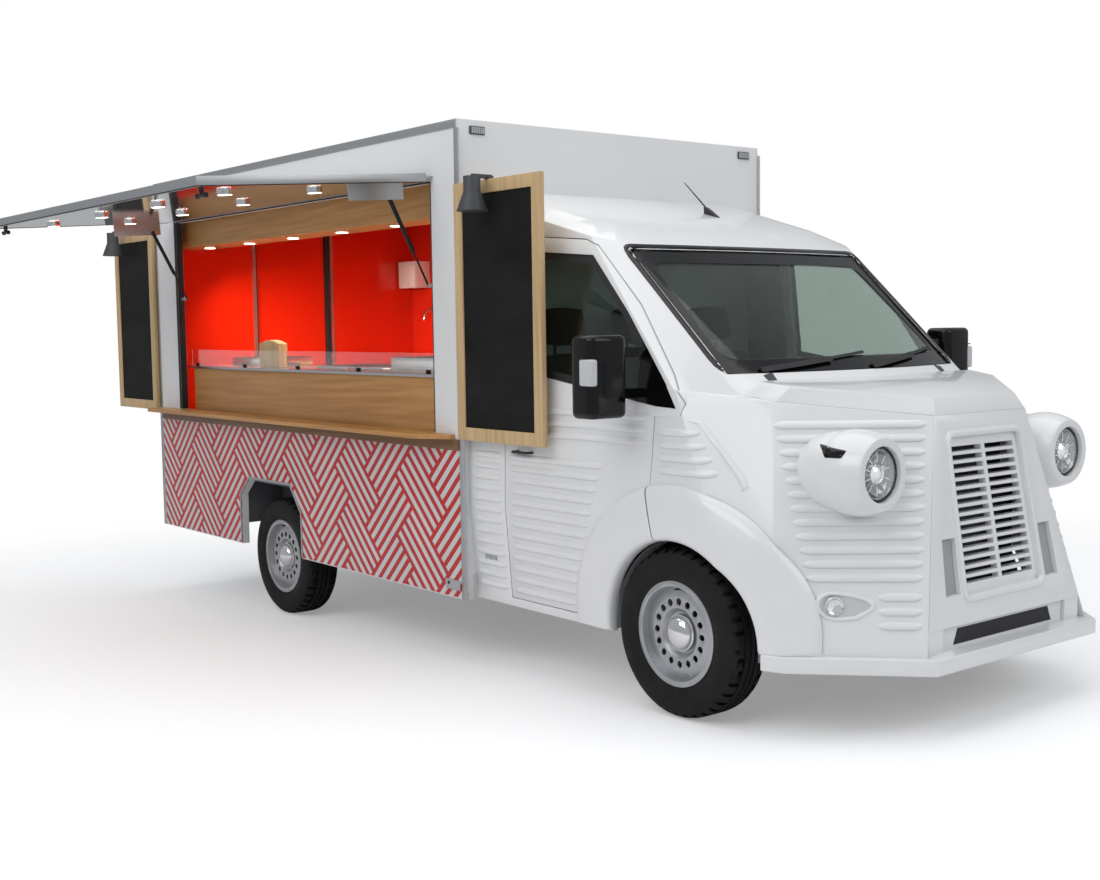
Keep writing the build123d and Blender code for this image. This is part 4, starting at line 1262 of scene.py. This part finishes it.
bm = bmesh.new()
bar(bm, (-1577, -1452), (-1058, -1051), (334, 384))
soften(bm, 3, 2)
make_piece("socket_plate", bm, lamp_pale, "base", 30)
bm = bmesh.new()
drum(bm, (-1545, -1059, 366), "y", 8, 8, 4, 20)
make_piece("socket_hole", bm, soft_black, "base", 30)

bm = bmesh.new()
for k in range(6):
    z = 500 + k * 9
    patch(bm, [(-1322, z), (-1228, z), (-1228, z + 6), (-1322, z + 6)], "xz", 1)
for x in (-1322, -1280, -1234):
    patch(bm, [(x, 498), (x + 6, 498), (x + 6, 553), (x, 553)], "xz", 1)
drape(bm, "cab_shell", (0, 1, 0), 2.5)
thicken(bm, (0, 1, 0), 3.5)
make_piece("sill_grid", bm, lamp_pale, "base", 30)

bm = bmesh.new()
clear_bm = bmesh.new()
for s in (-1, 1):
    bar(bm, (-1418, -1408), span(s, 885, 975), (2560, 2600))
    for k in range(6):
        bar(clear_bm, (-1408, -1405.5), span(s, 890 + k * 13.5, 900 + k * 13.5), (2565, 2595))
soften(bm, 4, 2)
lamp_skins.append(make_piece("marker_housings", bm, lamp_grey, "base", 30))
make_piece("marker_lenses", clear_bm, lamp_pale, "base", 30)

bm = bmesh.new()
for s in (-1, 1):
    bar(bm, (-5039, -5029), span(s, 840, 960), (640, 900))
soften(bm, 5, 2)
lamp_skins.append(make_piece("tail_housings", bm, black_plastic, "base", 30))
for name, material, z0, z1 in (("stop", red_lens, 652, 742), ("turn", amber_lens, 750, 815), ("reverse", pale_lens, 823, 888)):
    bm = bmesh.new()
    for s in (-1, 1):
        bar(bm, (-5045, -5038), span(s, 850, 950), (z0, z1))
    soften(bm, 4, 2)
    make_piece("tail_" + name, bm, material, "base", 30)
for piece in lamp_skins:
    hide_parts("lamps")

bm = bmesh.new()
for z in (620, 1360, 2120):
    drum(bm, (-5048, 306, z), "z", 9, 9, 120, 16)
    bar(bm, (-5040, -5030), (304, 350), (z - 50, z + 50))
make_piece("rear_door_hinges", bm, steel, "base", 40)
print("box lamps", len(lamp_skins))

# %% [markdown]
# Seats are soft, so they are not left as flat solids. Each cushion starts as a cube cut into a fine grid; its points
# are then pulled towards a rounded form, the top is crowned, and two seams are pressed in.
# A cloth simulation would give much the same dark shape behind the glass at a far higher cost.

# %% Padded seats
def cushion(bm, place, size, round_to=0.32, seams=()):
    """A crowned block: place is a matrix (mm), size its three lengths; seams are lines across local y."""
    made = bmesh.ops.create_cube(bm, size=2)["verts"]
    edges = list({e for v in made for e in v.link_edges})
    bmesh.ops.subdivide_edges(bm, edges=edges, cuts=9, use_grid_fill=True)
    verts = [v for v in bm.verts if not v.tag]
    for v in verts:
        p = v.co.copy()
        ball = p.normalized() * max(abs(c) for c in p)
        p = p.lerp(ball, round_to)
        for seam in seams:
            near = max(0, 1 - abs(p.y - seam) / 0.14)
            p.z -= 0.07 * near * (1 if p.z > 0 else 0)
        v.co = place @ Vector((p.x * size[0] / 2, p.y * size[1] / 2, p.z * size[2] / 2))
        v.tag = True


bm = bmesh.new()
for y0, y1 in ((-830, -330), (-320, 110), (190, 690)):
    mid, wide = (y0 + y1) / 2, y1 - y0
    cushion(bm, Matrix.Translation((-815, mid, 822)) @ Matrix.Rotation(radians(-3), 4, "Y"), (540, wide, 175), 0.3, (-0.55, 0.55))
    lean = Matrix.Translation((-1100, mid, 1190)) @ Matrix.Rotation(radians(-17), 4, "Y") @ Matrix.Rotation(radians(90), 4, "Y")
    cushion(bm, lean, (640, wide - 20, 125), 0.3, (-0.55, 0.55))
    rest = Matrix.Translation((-1210, mid, 1628)) @ Matrix.Rotation(radians(80), 4, "Y")
    cushion(bm, rest, (190, 262, 100), 0.42)
padding = make_piece("seat_padding", bm, seat_cloth, "base", 180)
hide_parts("seats")
bm = bmesh.new()
for y0, y1 in ((-830, -330), (-320, 110), (190, 690)):
    mid = (y0 + y1) / 2
    outline(bm, [(-1080, 460), (-1080, 780), (-600, 770), (-650, 460)], "xz", (y0 + 20, y1 - 20))
    for y in (mid - 55, mid + 55):
        drum(bm, (-1200, y, 1510), "z", 6, 6, 90, 12)
make_piece("seat_frames", bm, black_plastic, "base", 30)
print("seat padding points", len(padding.data.vertices))
